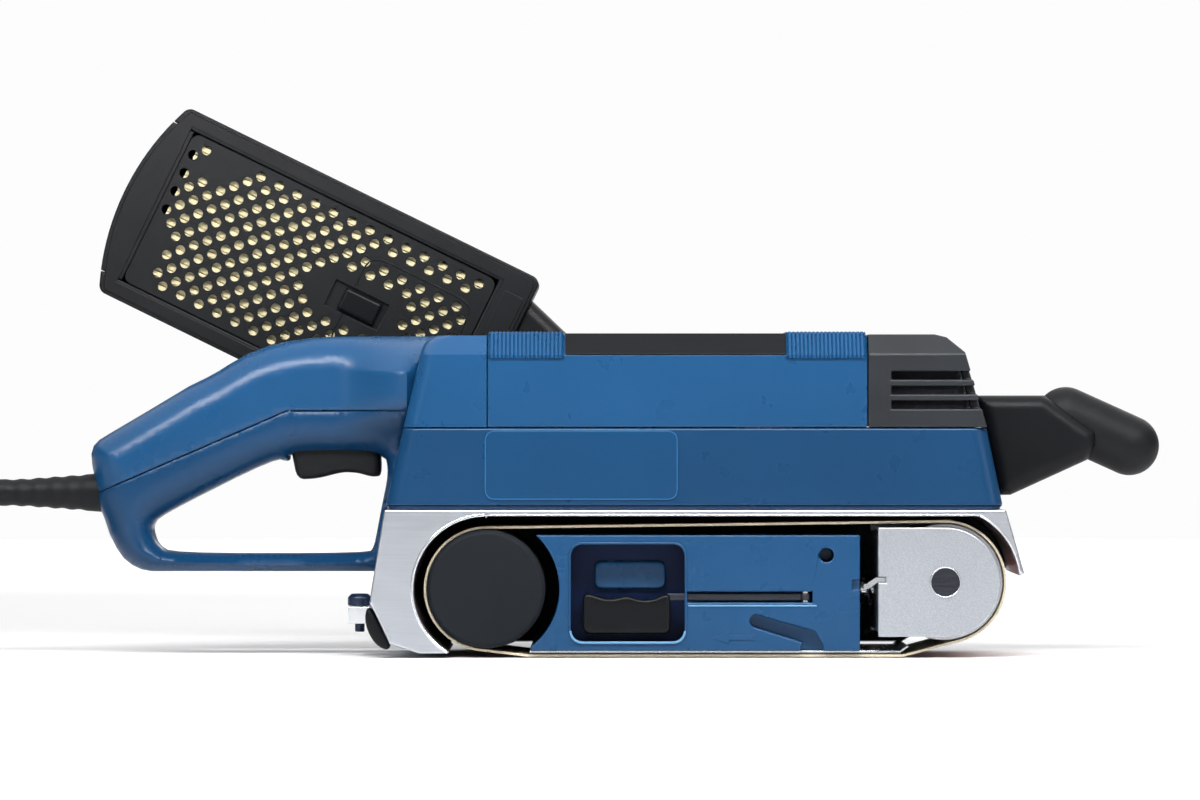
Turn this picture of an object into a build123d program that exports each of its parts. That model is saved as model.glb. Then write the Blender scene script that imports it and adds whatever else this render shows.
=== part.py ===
from build123d import *
from math import acos, atan2, cos, hypot, pi, radians, sin, tan
import os

# Handheld belt sander. X points to its front, Z up, and -Y to the open side where the belt comes off.
# The origin is the middle of the sanding sole's flat face. Millimetres.

# Sanding belt, drum and roller, as (X, Z) centres and radii
belt_width = 75.0
belt_thickness = 1.0
roller_gap = 0.3
drum, drum_r = (-94.3, 27.9), 24.3
roller, roller_r = (93.9, 30.75), 24.0
roller_length = 74.0
sole_rear, sole_front = -77.5, 76.7
sole_top = 2.6

# Chassis and housing
side_near, side_far = -43.0, 46.0
far_wall = 5.0
deck_under, deck_top = 57.8, 60.3
guard_inner_r, nose_inner_r = 29.7, 30.2
shell = 3.0
rim_top, seam_z, cover_base = 62.0, 93.9, 94.2
body_top, chamfer_size = 132.0, 8.2
cover_rear_x, vent_rear_x = -93.9, 62.1
rear_foot, rear_slope = -135.7, 0.2314
front_foot, front_slope = 117.7, -0.2094
corner_r = 7.0

guard_high, guard_middle, guard_back, guard_low = (-136, 60.3), (-140.7, 31.6), (-142, 22.4), (-133.9, 5.4)

# Handle
handle_half = 17.5
handle_wall = 4.0

# Motor and its toothed drive, on the far side
motor = (20.0, 96.0)
shaft_hole_r = 6.0
motor_teeth, drum_teeth, tooth_pitch = 18, 42, 3.0
motor_pulley_r = motor_teeth * tooth_pitch / (2 * pi)
drum_pulley_r = drum_teeth * tooth_pitch / (2 * pi)
pulley_near, pulley_far = 49.0, 56.0
drive_cover_far = 60.0

# Platen frame, lever and tensioning yoke
frame_near, frame_front_x = -40.0, 59.0
frame_arc_r = 30.0
lever_pivot = (36.8, -37.0)
cheek_r, cheek_near, cheek_far = 22.4, -42.0, -38.5
axle_r = 4.0
tracking = (70.0, 40.0)
fit = 0.05

# Dust box, tilted with its nose down
box_tilt = 26.1
box_centre = (-166.6, 154.1)
box_long, box_high = 167.0, 87.0
box_near, box_far = 61.5, 107.0
box_wall = 2.5
panel_rear, panel_front, panel_half = -77.0, 67.0, 35.0
element_depth = 22.0
neck_taper, socket_length = 30.0, 16.0
spout_long, spout_half_v, spout_half_y = 15.0, 22.0, 17.0

# Mains cord
cord_d = 8.0
coil_centre, coil_mean_r, coil_half = (-418.0, 42.0), 48.0, 12.0


def side_plane(y):
    """Sketch plane at depth y, seen from the near side: X to the right, Z up, extruding to the near side."""
    return Plane.XZ.offset(-y)


def box_plane(y):
    """Sketch plane at depth y in the dust box's own directions, with its long axis to the right."""
    tilt = radians(box_tilt)
    centre = (box_centre[0], y, box_centre[1])
    return Plane(origin=centre, x_dir=(cos(tilt), 0, -sin(tilt)), z_dir=(0, -1, 0))


def across_box(u):
    """Sketch plane square to the dust box's long axis at u, with its height up and Y to the right."""
    tilt = radians(box_tilt)
    middle = (box_near + box_far) / 2
    centre = (box_centre[0] + u * cos(tilt), middle, box_centre[1] - u * sin(tilt))
    return Plane(origin=centre, x_dir=(0, 1, 0), z_dir=(cos(tilt), 0, -sin(tilt)))


def rear_x(z):
    """Rear face of the housing at height z."""
    return rear_foot + rear_slope * (z - rim_top)


def front_x(z):
    """Front face of the housing at height z."""
    return front_foot + front_slope * (z - rim_top)


def along(start, end, z):
    """Point of the line through two (X, Z) points at height z."""
    share = (z - start[1]) / (end[1] - start[1])
    return (start[0] + share * (end[0] - start[0]), z)


def on_circle(centre, radius, angle):
    """Point of a circle at an angle."""
    return (centre[0] + radius * cos(angle), centre[1] + radius * sin(angle))


def touch_angle(point, centre, radius, side):
    """Angle, from the circle's centre, at which a straight run from the point touches it."""
    dx, dz = point[0] - centre[0], point[1] - centre[1]
    return atan2(dz, dx) + side * acos(radius / hypot(dx, dz))


def loop_angles(rear, rear_r, front, front_r):
    """Angles at which the two straight runs of a loop round two circles touch them."""
    dx, dz = front[0] - rear[0], front[1] - rear[1]
    lean = acos((rear_r - front_r) / hypot(dx, dz))
    return atan2(dz, dx) + lean, atan2(dz, dx) - lean


def loop_face(rear, rear_r, front, front_r, mode=Mode.ADD):
    """Face inside a tight loop round two circles."""
    up, down = loop_angles(rear, rear_r, front, front_r)
    middle = (up + down) / 2
    with BuildLine() as edge:
        Line(on_circle(rear, rear_r, up), on_circle(front, front_r, up))
        ThreePointArc(*[on_circle(front, front_r, a) for a in (up, middle, down)])
        Line(on_circle(front, front_r, down), on_circle(rear, rear_r, down))
        ThreePointArc(*[on_circle(rear, rear_r, a) for a in (down, middle + pi, up)])
    make_face(edge.edges(), mode=mode)


def belt_face(proud, mode=Mode.ADD):
    """Face inside the sanding belt's loop, proud of the belt's inner surface by the given amount."""
    rear_r = drum_r + roller_gap + proud
    front_r = roller_r + roller_gap + proud
    up, _ = loop_angles(drum, rear_r, roller, front_r)
    rear_low = (sole_rear, belt_thickness - proud)
    front_low = (sole_front, belt_thickness - proud)
    rear_a = touch_angle(rear_low, drum, rear_r, -1) + 2 * pi
    front_a = touch_angle(front_low, roller, front_r, 1)
    with BuildLine() as edge:
        Line(on_circle(drum, rear_r, up), on_circle(roller, front_r, up))
        ThreePointArc(*[on_circle(roller, front_r, a) for a in (up, (up + front_a) / 2, front_a)])
        Polyline(on_circle(roller, front_r, front_a), front_low, rear_low, on_circle(drum, rear_r, rear_a))
        ThreePointArc(*[on_circle(drum, rear_r, a) for a in (rear_a, (up + rear_a) / 2, up)])
    make_face(edge.edges(), mode=mode)


def disc(plane, centre, radius):
    """Circle on a plane, as a finished sketch."""
    with BuildSketch(plane) as round_face:
        with Locations(centre):
            Circle(radius)
    return round_face.sketch


def turned(centre, radius, y_far, y_near, mode=Mode.ADD):
    """Cylinder along Y in the part being built."""
    extrude(disc(side_plane(y_far), centre, radius), amount=y_far - y_near, mode=mode)


def export(name, part):
    """Label a finished piece and write its STEP file."""
    part.label = name
    export_step(part, f"parts/{name}.step")


os.makedirs("parts", exist_ok=True)

# ---------------------------------------------------------------- chassis

with BuildPart() as chassis:
    with BuildSketch(side_plane(side_far)):
        rear_edge = [guard_high, guard_middle, guard_back, guard_low, (-121.6, 1.5), (-109.9, 1.6)]
        Polygon(*rear_edge, drum, roller, (124.2, 33.4), (126.3, 34.2), (118.7, deck_top), align=None)
        with Locations(drum):
            Circle(guard_inner_r, mode=Mode.SUBTRACT)
        with Locations(roller):
            Circle(nose_inner_r, mode=Mode.SUBTRACT)
        Polygon(drum, roller, (roller[0], 70), (drum[0], 70), align=None, mode=Mode.SUBTRACT)
        Polygon((-136, deck_top), (118.7, deck_top), (119.3, deck_under), (-136.4, deck_under), align=None)
    extrude(amount=side_far - side_near)
    with BuildSketch(side_plane(side_far)):
        nose_root = on_circle(roller, 23.0, 0.1)
        under_nose = on_circle(roller, 23.0, -0.3)
        Polygon((-136, deck_top), (-140.3, 32), (-134, 7), (-122, 3.4), (80, 3.4), (88, 8.6), under_nose,
                nose_root, (124.2, 35), (118.7, deck_top), align=None)
    extrude(amount=far_wall)
    turned(drum, 17.0, 47.5, 39.5)
    turned(drum, 13.0, 48.0, 39.0, mode=Mode.SUBTRACT)
    turned(tracking, 3 + fit, side_far + 1, side_far - far_wall - 1, mode=Mode.SUBTRACT)
export("chassis", chassis.part)

# ---------------------------------------------------------------- housing shells


def housing_block(low, high, rear, front):
    """Block of the housing between two heights, cut to the rear and front lines it is given."""
    with BuildSketch(side_plane(side_far)) as face:
        Polygon((rear(low), low), (front(low), low), (front(high), high), (rear(high), high), align=None)
    extrude(face.sketch, amount=side_far - side_near)


def hollow_block(low, high, rear, front):
    """Space inside the housing between two heights, one shell thickness inside the outer faces."""
    with BuildSketch(side_plane(side_far - shell)) as face:
        Polygon((rear(low) + shell, low), (front(low) - shell, low),
                (front(high) - shell, high), (rear(high) + shell, high), align=None)
    extrude(face.sketch, amount=side_far - side_near - 2 * shell, mode=Mode.SUBTRACT)


with BuildPart() as lower_housing:
    housing_block(rim_top, seam_z, rear_x, front_x)
    upright = lower_housing.edges().filter_by(Axis.X, reverse=True).filter_by(Axis.Y, reverse=True)
    fillet(upright, radius=corner_r)
    with BuildSketch(Plane.XY.offset(deck_top)):
        with Locations(((rear_foot + front_foot) / 2, (side_near + side_far) / 2)):
            RectangleRounded(front_foot - rear_foot - 2, side_far - side_near - 2, corner_r - 1)
    extrude(amount=rim_top - deck_top)
    hollow_block(rim_top + 1.0, seam_z + 1, rear_x, front_x)
    turned(motor, shaft_hole_r, side_far + 1, side_far - shell - 1, mode=Mode.SUBTRACT)
export("lower_housing", lower_housing.part)

with BuildPart() as motor_cover:
    housing_block(cover_base, body_top, lambda z: cover_rear_x + 0.15, lambda z: vent_rear_x - 0.15)
    chamfer(motor_cover.faces().sort_by(Axis.Z)[-1].edges().filter_by(Axis.X), length=chamfer_size)
    with BuildSketch(Plane.YZ.offset(cover_rear_x - 1)):
        with BuildLine():
            inner_top = body_top - shell
            Polyline((side_near + shell, cover_base - 1), (side_near + shell, inner_top - 7),
                     (side_near + shell + 7, inner_top), (side_far - shell - 7, inner_top),
                     (side_far - shell, inner_top - 7), (side_far - shell, cover_base - 1), close=True)
        make_face()
    extrude(amount=vent_rear_x - cover_rear_x + 2, mode=Mode.SUBTRACT)
    for rib_start in (-92.0, 30.0):
        with BuildSketch(Plane.XY.offset(body_top)):
            rib_middle = rib_start + 14.0
            with Locations((rib_middle, (side_near + side_far) / 2)):
                with GridLocations(3.5, 1, 9, 1):
                    Rectangle(1.6, side_far - side_near - 2 * chamfer_size - 3)
        extrude(amount=1.2)
    with BuildSketch(box_plane(side_far + 1)):
        with Locations((140, 15)):
            Rectangle(16, 18)
    extrude(amount=6, mode=Mode.SUBTRACT)
    turned(motor, shaft_hole_r, side_far + 1, side_far - shell - 1, mode=Mode.SUBTRACT)
export("motor_cover", motor_cover.part)

with BuildPart() as top_inlay:
    with BuildSketch(Plane.YZ.offset(-61.8)):
        with BuildLine():
            skin = 0.8
            edge_z = body_top - chamfer_size
            Polyline((side_near, edge_z), (side_near + chamfer_size, body_top),
                     (side_far - chamfer_size, body_top), (side_far, edge_z),
                     (side_far + 0.4, edge_z + 0.4), (side_far - chamfer_size, body_top + skin),
                     (side_near + chamfer_size, body_top + skin), (side_near - 0.4, edge_z + 0.4), close=True)
        make_face()
    extrude(amount=90.6)
export("top_inlay", top_inlay.part)

with BuildPart() as label_plate:
    with BuildSketch(side_plane(side_near)):
        with Locations((-55.3, 78.7)):
            RectangleRounded(79.4, 28.6, 4)
    extrude(amount=0.4)
export("label_plate", label_plate.part)

vent_top = [(vent_rear_x + 0.15, cover_base), (111, cover_base), (102, 125), (94.7, 131.2),
            (89.8, 132.4), (vent_rear_x + 0.15, 132.4)]
with BuildPart() as vent_cap:
    with BuildSketch(side_plane(side_far)):
        Polygon(*vent_top, align=None)
    extrude(amount=side_far - side_near)
    chamfer(vent_cap.faces().sort_by(Axis.Z)[-1].edges().filter_by(Axis.X), length=chamfer_size)
    with BuildSketch(side_plane(side_far - shell)):
        Polygon((60, 90), (107.8, 90), (99.5, 122), (97.2, 124), (60, 124), align=None)
    extrude(amount=side_far - side_near - 2 * shell, mode=Mode.SUBTRACT)
    with BuildSketch(side_plane(side_far - shell - 6)):
        Polygon((60, 123), (98, 123), (92, 129), (60, 129), align=None)
    extrude(amount=side_far - side_near - 2 * (shell + 6), mode=Mode.SUBTRACT)
    with BuildSketch(side_plane(side_far + 1)):
        with Locations((93, 103.5), (93, 109.5), (93, 115.5)):
            Rectangle(42.4, 3.4)
    extrude(amount=12, mode=Mode.SUBTRACT)
    with BuildSketch(side_plane(side_near + 11)):
        with Locations((93, 103.5), (93, 109.5), (93, 115.5)):
            Rectangle(42.4, 3.4)
    extrude(amount=12, mode=Mode.SUBTRACT)
    with BuildSketch(Plane.YZ.offset(100)):
        with Locations((1.5, 103.5), (1.5, 109.5), (1.5, 115.5)):
            Rectangle(60, 3.4)
    extrude(amount=14, mode=Mode.SUBTRACT)
export("vent_cap", vent_cap.part)

# ---------------------------------------------------------------- rear D handle

seam_start, seam_knee, seam_end = (-256.4, 66.3), (-177, 101), 101.0
heel = [(-253.4, 56.2), (-248.4, 43.9), (-241.7, 36.7), (-233.9, 34.1)]
back = [(-152.5, 131.8), (-168.1, 131.1), (-185.9, 127.7), (-201.6, 120.3), (-210.5, 114.7),
        (-218.3, 111.6), (-250.7, 91.9), (-259, 85.2), (-259, 81.0), (-257.3, 71.8)]
loop = [(-141.4, 44.4), (-144, 41.7), (-225.5, 41.7), (-231.5, 45.5), (-233.6, 52.8), (-230.5, 57.3),
        (-182.6, 81.3), (-176.4, 79.6), (-176.4, 83.6), (-137.0, 83.6), (-135.4, 75.2), (-138.5, 60)]


def sleeve_hole():
    """Bore for the cord sleeve at the rear end of the handle."""
    hole = disc(Plane.YZ.offset(-262), (0, 66.3), 9.4)
    extrude(hole, amount=26, mode=Mode.SUBTRACT)


with BuildPart() as handle_frame:
    with BuildSketch(side_plane(handle_half)):
        Polygon(seam_start, seam_knee, (rear_x(seam_end), seam_end), (rear_x(rim_top), rim_top),
                guard_high, along(guard_high, guard_middle, 34.3), *reversed(heel), align=None)
        Polygon(*loop, align=None, mode=Mode.SUBTRACT)
    extrude(amount=2 * handle_half)
    with BuildSketch(side_plane(handle_half - handle_wall)):
        Polygon((-138.4, 110), (-177.4, 110), (-177.4, 84), (-138.4, 84), align=None)
    extrude(amount=2 * (handle_half - handle_wall), mode=Mode.SUBTRACT)
    with BuildSketch(side_plane(9.7)):
        Polygon((-136.6, 90), (-177.4, 90), (-177.4, 70), (-136.6, 70), align=None)
    extrude(amount=19.4, mode=Mode.SUBTRACT)
    with BuildSketch(side_plane(handle_half + 1)):
        with Locations((-186, 90)):
            Circle(4.6)
    extrude(amount=12, mode=Mode.SUBTRACT)
    sleeve_hole()
export("handle_frame", handle_frame.part)

with BuildPart() as handle_cover:
    with BuildSketch(side_plane(side_far)):
        Polygon((rear_x(cover_base), cover_base), (cover_rear_x - 0.15, cover_base),
                (cover_rear_x - 0.15, body_top), (rear_x(body_top) + 3, body_top),
                (rear_x(124), 124), align=None)
    extrude(amount=side_far - side_near)
    chamfer(handle_cover.faces().sort_by(Axis.Z)[-1].edges().filter_by(Axis.X), length=chamfer_size)
    hollow_block(cover_base - 1, body_top - shell, rear_x, lambda z: cover_rear_x + shell + 1)
    with BuildSketch(side_plane(handle_half)):
        Polygon((seam_start[0], seam_start[1] + 0.3), (seam_knee[0], seam_end + 0.3),
                (rear_x(seam_end + 0.3), seam_end + 0.3), (rear_x(124), 124), (-119, 129),
                (-119, 131.8), *back, align=None)
    extrude(amount=2 * handle_half)
    with BuildSketch(side_plane(handle_half - handle_wall)):
        Polygon((-128.5, 100), (-177, 100), (-195, 92), (-195, 111), (-181, 121), (-166, 126),
                (-128.5, 126), align=None)
    extrude(amount=2 * (handle_half - handle_wall), mode=Mode.SUBTRACT)
    sleeve_hole()
export("handle_cover", handle_cover.part)

with BuildPart() as trigger:
    with BuildSketch(side_plane(9.2)):
        Polygon((-138.9, 88), (-175.8, 88), (-175.6, 83.8), (-173.3, 72.4), (-164.8, 72.8),
                (-154.4, 75.5), (-148.3, 75.2), (-142.2, 73.5), (-138.4, 73.9), align=None)
    extrude(amount=18.4)
    fillet(trigger.faces().sort_by(Axis.Z)[0].edges().filter_by(Axis.Y), radius=1.0)
export("trigger", trigger.part)

with BuildPart() as lock_button:
    turned((-186, 90), 4.2, handle_half + 3.0, handle_half - 4.0)
    turned((-186, 90), 2.0, handle_half - 4.0, handle_half - 8.0)
export("lock_button", lock_button.part)

with BuildPart() as switch_body:
    with BuildSketch(side_plane(11.0)):
        Polygon((-139.5, 95), (-176, 95), (-176, 116), (-139.5, 116), align=None)
    extrude(amount=22)
export("switch_body", switch_body.part)

# ---------------------------------------------------------------- front handle

with BuildPart() as front_handle_arm:
    with BuildSketch(side_plane(16)):
        Polygon((front_x(66), 66), (122.5, 66.1), (154.3, 80.6), (158, 92), (136.4, 107.3),
                (107.8, 107.3), (111.2, cover_base), (front_x(seam_z), seam_z), align=None)
    extrude(amount=32)
    chamfer(front_handle_arm.faces().group_by(Axis.Y)[0].edges(), length=2.0)
    chamfer(front_handle_arm.faces().group_by(Axis.Y)[-1].edges(), length=2.0)
export("front_handle_arm", front_handle_arm.part)

grip_r, grip_end, grip_tilt, grip_span = 12.4, (172.5, 86.5), -24.3, 29.0
with BuildPart() as front_grip:
    lean = radians(grip_tilt)
    grip_way = Vector(cos(lean), 0, sin(lean))
    outer = Vector(grip_end[0], 0, grip_end[1])
    inner = outer - grip_way * grip_span
    with Locations(outer, inner):
        Sphere(grip_r)
    with Locations(Plane(origin=(outer + inner) / 2, z_dir=grip_way)):
        Cylinder(grip_r, grip_span)
export("front_grip", front_grip.part)

# ---------------------------------------------------------------- sanding belt, sole and platen frame

with BuildPart() as sanding_belt:
    with BuildSketch(side_plane(belt_width / 2)):
        belt_face(belt_thickness)
        belt_face(0, mode=Mode.SUBTRACT)
    extrude(amount=belt_width)
export("sanding_belt", sanding_belt.part)

with BuildPart() as sole_pad:
    with BuildSketch(side_plane(belt_width / 2)):
        Polygon((sole_rear + 1, belt_thickness), (sole_front - 1, belt_thickness),
                (sole_front - 1, 1.7), (sole_rear + 1, 1.7), align=None)
    extrude(amount=belt_width)
export("sole_pad", sole_pad.part)

with BuildPart() as sole_plate:
    with BuildSketch(side_plane(belt_width / 2)):
        Polygon((sole_rear + 1, 1.7), (sole_front - 1, 1.7), (79.2, 4.2), (78.2, 4.6), (75.5, sole_top),
                (sole_rear + 1, sole_top), align=None)
    extrude(amount=belt_width)
export("sole_plate", sole_plate.part)

pocket_y = -24.0
with BuildPart() as platen_frame:
    with BuildSketch(side_plane(side_far - far_wall)):
        Polygon((-76, sole_top), (frame_front_x, sole_top), (frame_front_x, 50), (-76, 50), align=None)
        with Locations(drum):
            Circle(frame_arc_r, mode=Mode.SUBTRACT)
    extrude(amount=side_far - far_wall - frame_near)
    with BuildSketch(side_plane(side_far - far_wall - 4)):
        Polygon((-58, 7), (24, 7), (24, 46), (-58, 46), align=None)
        Polygon((28, 7), (55, 7), (55, 46), (28, 46), align=None)
    extrude(amount=side_far - far_wall - 4 - pocket_y, mode=Mode.SUBTRACT)
    with BuildSketch(side_plane(frame_near + 13)):
        with Locations((-36.25, 26.15)):
            RectangleRounded(47.5, 40.9, 5)
    extrude(amount=13, mode=Mode.SUBTRACT)
    with BuildSketch(side_plane(frame_near + 8)):
        Polygon((-13, 22.4), (39.5, 22.4), (39.5, 26.8), (-13, 26.8), align=None)
    extrude(amount=8, mode=Mode.SUBTRACT)
    with BuildSketch(side_plane(frame_near + 5)):
        Polygon((17.3, 17.3), (40.6, 10.6), (44, 5), (44, 2), (34, 2), (35.5, 5.9), (15.7, 12.2), align=None)
        with Locations((16.5, 14.8)):
            Circle(2.65)
    extrude(amount=5, mode=Mode.SUBTRACT)
    with BuildSketch(side_plane(frame_near + 12)):
        with Locations((45.3, 41.8)):
            Circle(2.9)
    extrude(amount=12, mode=Mode.SUBTRACT)
    with BuildSketch(side_plane(frame_near + 2)):
        Polygon((55.8, 27.5), (frame_front_x, 27.5), (frame_front_x, 31.6), (55.8, 31.6), align=None)
    extrude(amount=2, mode=Mode.SUBTRACT)
    with BuildSketch(Plane.XY.offset(19)):
        with Locations(lever_pivot):
            Circle(1.5 + fit)
    extrude(amount=11, mode=Mode.SUBTRACT)
    with BuildSketch(Plane.YZ.offset(54)):
        with Locations((7, 27)):
            Circle(9)
    extrude(amount=6, mode=Mode.SUBTRACT)
    with BuildSketch(Plane.YZ.offset(23)):
        with Locations((7, 27)):
            Circle(3 + fit)
    extrude(amount=6, mode=Mode.SUBTRACT)
export("platen_frame", platen_frame.part)

# ---------------------------------------------------------------- belt lever

with BuildPart() as lever_strip:
    with BuildSketch(Plane.XY.offset(23.2)):
        with Locations((8.4, lever_pivot[1])):
            Rectangle(56.8, 2)
        with Locations(lever_pivot):
            Circle(2.4)
            Circle(1.5, mode=Mode.SUBTRACT)
    extrude(amount=2.8)
export("lever_strip", lever_strip.part)

with BuildPart() as lever_pin:
    with BuildSketch(Plane.XY.offset(19.2)):
        with Locations(lever_pivot):
            Circle(1.5)
    extrude(amount=10.6)
export("lever_pin", lever_pin.part)

with BuildPart() as lever_grip:
    with BuildSketch(side_plane(-29.5)):
        Polygon((-54.7, 9.8), (-19.2, 9.3), (-18.7, 22.6), (-20.0, 22.6), (-20.0, 26.2), (-24, 25.2),
                (-29, 22.6), (-36, 23.6), (-42, 22.2), (-49, 23.2), (-54.7, 25.2), align=None)
    extrude(amount=10)
    fillet(lever_grip.faces().sort_by(Axis.Y)[0].edges().filter_by(Axis.X), radius=1.0)
export("lever_grip", lever_grip.part)

# ---------------------------------------------------------------- tensioning yoke and front roller


def cheek(y_near, y_far):
    """Side plate of the yoke: straight at the rear, round about the roller's axle."""
    with BuildSketch(side_plane(y_far)) as face:
        with Locations(roller):
            Circle(cheek_r)
        Polygon((66.4, roller[1] - cheek_r), (roller[0], roller[1] - cheek_r),
                (roller[0], roller[1] + cheek_r), (66.4, roller[1] + cheek_r), align=None)
        Polygon((66.0, 30.4), (69.6, 30.4), (69.6, 33), (66.0, 33), align=None, mode=Mode.SUBTRACT)
        with Locations(roller):
            Circle(6, mode=Mode.SUBTRACT)
    extrude(face.sketch, amount=y_far - y_near)


with BuildPart() as tension_yoke:
    cheek(cheek_near, cheek_far)
    cheek(38.0, 40.6)
    with BuildSketch(Plane.YZ.offset(66.4)):
        with Locations((-0.25, 30)):
            Rectangle(76.5, 40)
        with Locations((7, 27)):
            Circle(3, mode=Mode.SUBTRACT)
    extrude(amount=2.8)
export("tension_yoke", tension_yoke.part)

with BuildPart() as roller_axle:
    turned(roller, axle_r, 38.0, cheek_far)
    turned(roller, 6.0, cheek_far, cheek_near - 0.6)
    turned(roller, 6.0, 40.6, 38.0)
export("roller_axle", roller_axle.part)

with BuildPart() as push_rod:
    with BuildSketch(Plane.YZ.offset(14)):
        with Locations((7, 27)):
            Circle(3)
    extrude(amount=55.2)
export("push_rod", push_rod.part)

with BuildPart() as tension_link:
    with BuildSketch(side_plane(-38.7)):
        Polygon((60.5, 28.0), (62.5, 28.0), (66.2, 30.6), (69.4, 30.6), (69.4, 32.6), (65.4, 32.6),
                (61.7, 30.0), (60.5, 30.0), align=None)
    extrude(amount=2)
export("tension_link", tension_link.part)

with BuildPart() as tension_spring:
    spring_wire = 0.9
    with BuildLine() as spring_line:
        Helix(pitch=4.1, height=36.0, radius=6.0, center=(29.2, 7, 27), direction=(1, 0, 0))
    with BuildSketch(Plane(origin=spring_line.line @ 0, z_dir=spring_line.line % 0)):
        Circle(spring_wire)
    sweep()
export("tension_spring", tension_spring.part)

with BuildPart() as front_roller:
    turned(roller, roller_r, roller_length / 2, -roller_length / 2)
    turned(roller, 9.0, 40, -40, mode=Mode.SUBTRACT)
    turned(roller, 11.0, 40, 30, mode=Mode.SUBTRACT)
    turned(roller, 11.0, -30, -40, mode=Mode.SUBTRACT)
export("front_roller", front_roller.part)

with BuildPart() as roller_bearings:
    turned(roller, 11.0, 37, 30)
    turned(roller, 11.0, -30, -37)
    turned(roller, axle_r + fit, 40, -40, mode=Mode.SUBTRACT)
export("roller_bearings", roller_bearings.part)

# ---------------------------------------------------------------- drive drum

with BuildPart() as drum_core:
    turned(drum, drum_r - 3, 37, -37)
    turned(drum, drum_r - 8, 30, -38, mode=Mode.SUBTRACT)
    turned(drum, 9, 30, -37)
    turned(drum, 5, 38, -38, mode=Mode.SUBTRACT)
export("drum_core", drum_core.part)

with BuildPart() as drum_lagging:
    turned(drum, drum_r, 37, -37)
    turned(drum, drum_r - 3, 38, -38, mode=Mode.SUBTRACT)
export("drum_lagging", drum_lagging.part)

with BuildPart() as drum_cap:
    turned(drum, drum_r, -37, -41)
    chamfer(drum_cap.faces().sort_by(Axis.Y)[0].edges(), length=1.5)
export("drum_cap", drum_cap.part)

with BuildPart() as drum_shaft:
    turned(drum, 5, 57, -37)
export("drum_shaft", drum_shaft.part)


def toothed_pulley(centre, radius, teeth, bore):
    """Flanged toothed pulley with shallow grooves across its rim."""
    turned(centre, radius, pulley_far, pulley_near)
    with BuildSketch(side_plane(pulley_far + 1)) as grooves:
        with Locations(centre):
            with PolarLocations(radius, teeth):
                Circle(0.75)
    extrude(grooves.sketch, amount=pulley_far - pulley_near + 2, mode=Mode.SUBTRACT)
    turned(centre, bore, pulley_far + 1, pulley_near - 1, mode=Mode.SUBTRACT)


with BuildPart() as drum_pulley:
    toothed_pulley(drum, drum_pulley_r, drum_teeth, 5)
export("drum_pulley", drum_pulley.part)

with BuildPart() as drum_bearing:
    turned(drum, 13, 47.5, 39.5)
    turned(drum, 5 + fit, 48, 39, mode=Mode.SUBTRACT)
export("drum_bearing", drum_bearing.part)

with BuildPart() as timing_belt:
    clear, belt_back = roller_gap, roller_gap + 2.2
    with BuildSketch(side_plane(pulley_far - 0.5)):
        loop_face(drum, drum_pulley_r + belt_back, motor, motor_pulley_r + belt_back)
        loop_face(drum, drum_pulley_r + clear, motor, motor_pulley_r + clear, mode=Mode.SUBTRACT)
    extrude(amount=pulley_far - pulley_near - 1)
export("timing_belt", timing_belt.part)

with BuildPart() as drive_cover:
    with BuildSketch(side_plane(drive_cover_far)):
        loop_face(drum, 27.0, motor, 19.0)
    extrude(amount=drive_cover_far - side_far)
    chamfer(drive_cover.faces().sort_by(Axis.Y)[-1].edges(), length=2.0)
    with BuildSketch(side_plane(drive_cover_far - 2)):
        loop_face(drum, 25.0, motor, 17.0)
    extrude(amount=drive_cover_far - 2 - side_far, mode=Mode.SUBTRACT)
export("drive_cover", drive_cover.part)

# ---------------------------------------------------------------- motor

with BuildPart() as stator:
    turned(motor, 30.5, 17, -17)
    turned(motor, 17.6, 18, -18, mode=Mode.SUBTRACT)
export("stator", stator.part)

with BuildPart() as armature_core:
    turned(motor, 17.0, 15, -15)
    with BuildSketch(side_plane(16)):
        with Locations(motor):
            with PolarLocations(17, 12):
                Circle(1.2)
    extrude(amount=32, mode=Mode.SUBTRACT)
    turned(motor, 4, 20, -20, mode=Mode.SUBTRACT)
export("armature_core", armature_core.part)

with BuildPart() as armature_shaft:
    turned(motor, 4, 57, -38)
export("armature_shaft", armature_shaft.part)

with BuildPart() as commutator:
    turned(motor, 11, -19, -29)
    turned(motor, 4, -18, -30, mode=Mode.SUBTRACT)
export("commutator", commutator.part)

with BuildPart() as cooling_fan:
    turned(motor, 28, 34, 32.5)
    turned(motor, 9, 32.5, 22)
    with BuildSketch(side_plane(32.5)):
        with Locations(motor):
            with PolarLocations(17.5, 11):
                Rectangle(19, 1.6)
    extrude(amount=9)
    turned(motor, 4, 36, 20, mode=Mode.SUBTRACT)
export("cooling_fan", cooling_fan.part)

with BuildPart() as motor_pulley:
    toothed_pulley(motor, motor_pulley_r, motor_teeth, 4)
export("motor_pulley", motor_pulley.part)

with BuildPart() as motor_bearings:
    for near, far in ((-38, -31), (36, 42.8)):
        turned(motor, 11, far, near)
    turned(motor, 4 + fit, 44, -39, mode=Mode.SUBTRACT)
export("motor_bearings", motor_bearings.part)

with BuildPart() as brush_holders:
    for side in (-1, 1):
        with BuildSketch(side_plane(-20)):
            with Locations((motor[0] + side * 22, motor[1])):
                Rectangle(14, 10)
                Rectangle(14.1, 6.2, mode=Mode.SUBTRACT)
        extrude(amount=8)
export("brush_holders", brush_holders.part)

with BuildPart() as carbon_brushes:
    for side in (-1, 1):
        with BuildSketch(side_plane(-21)):
            with Locations((motor[0] + side * 18.5, motor[1])):
                Rectangle(14, 6)
        extrude(amount=6)
export("carbon_brushes", carbon_brushes.part)

# ---------------------------------------------------------------- rear clamp and tracking knob

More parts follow.
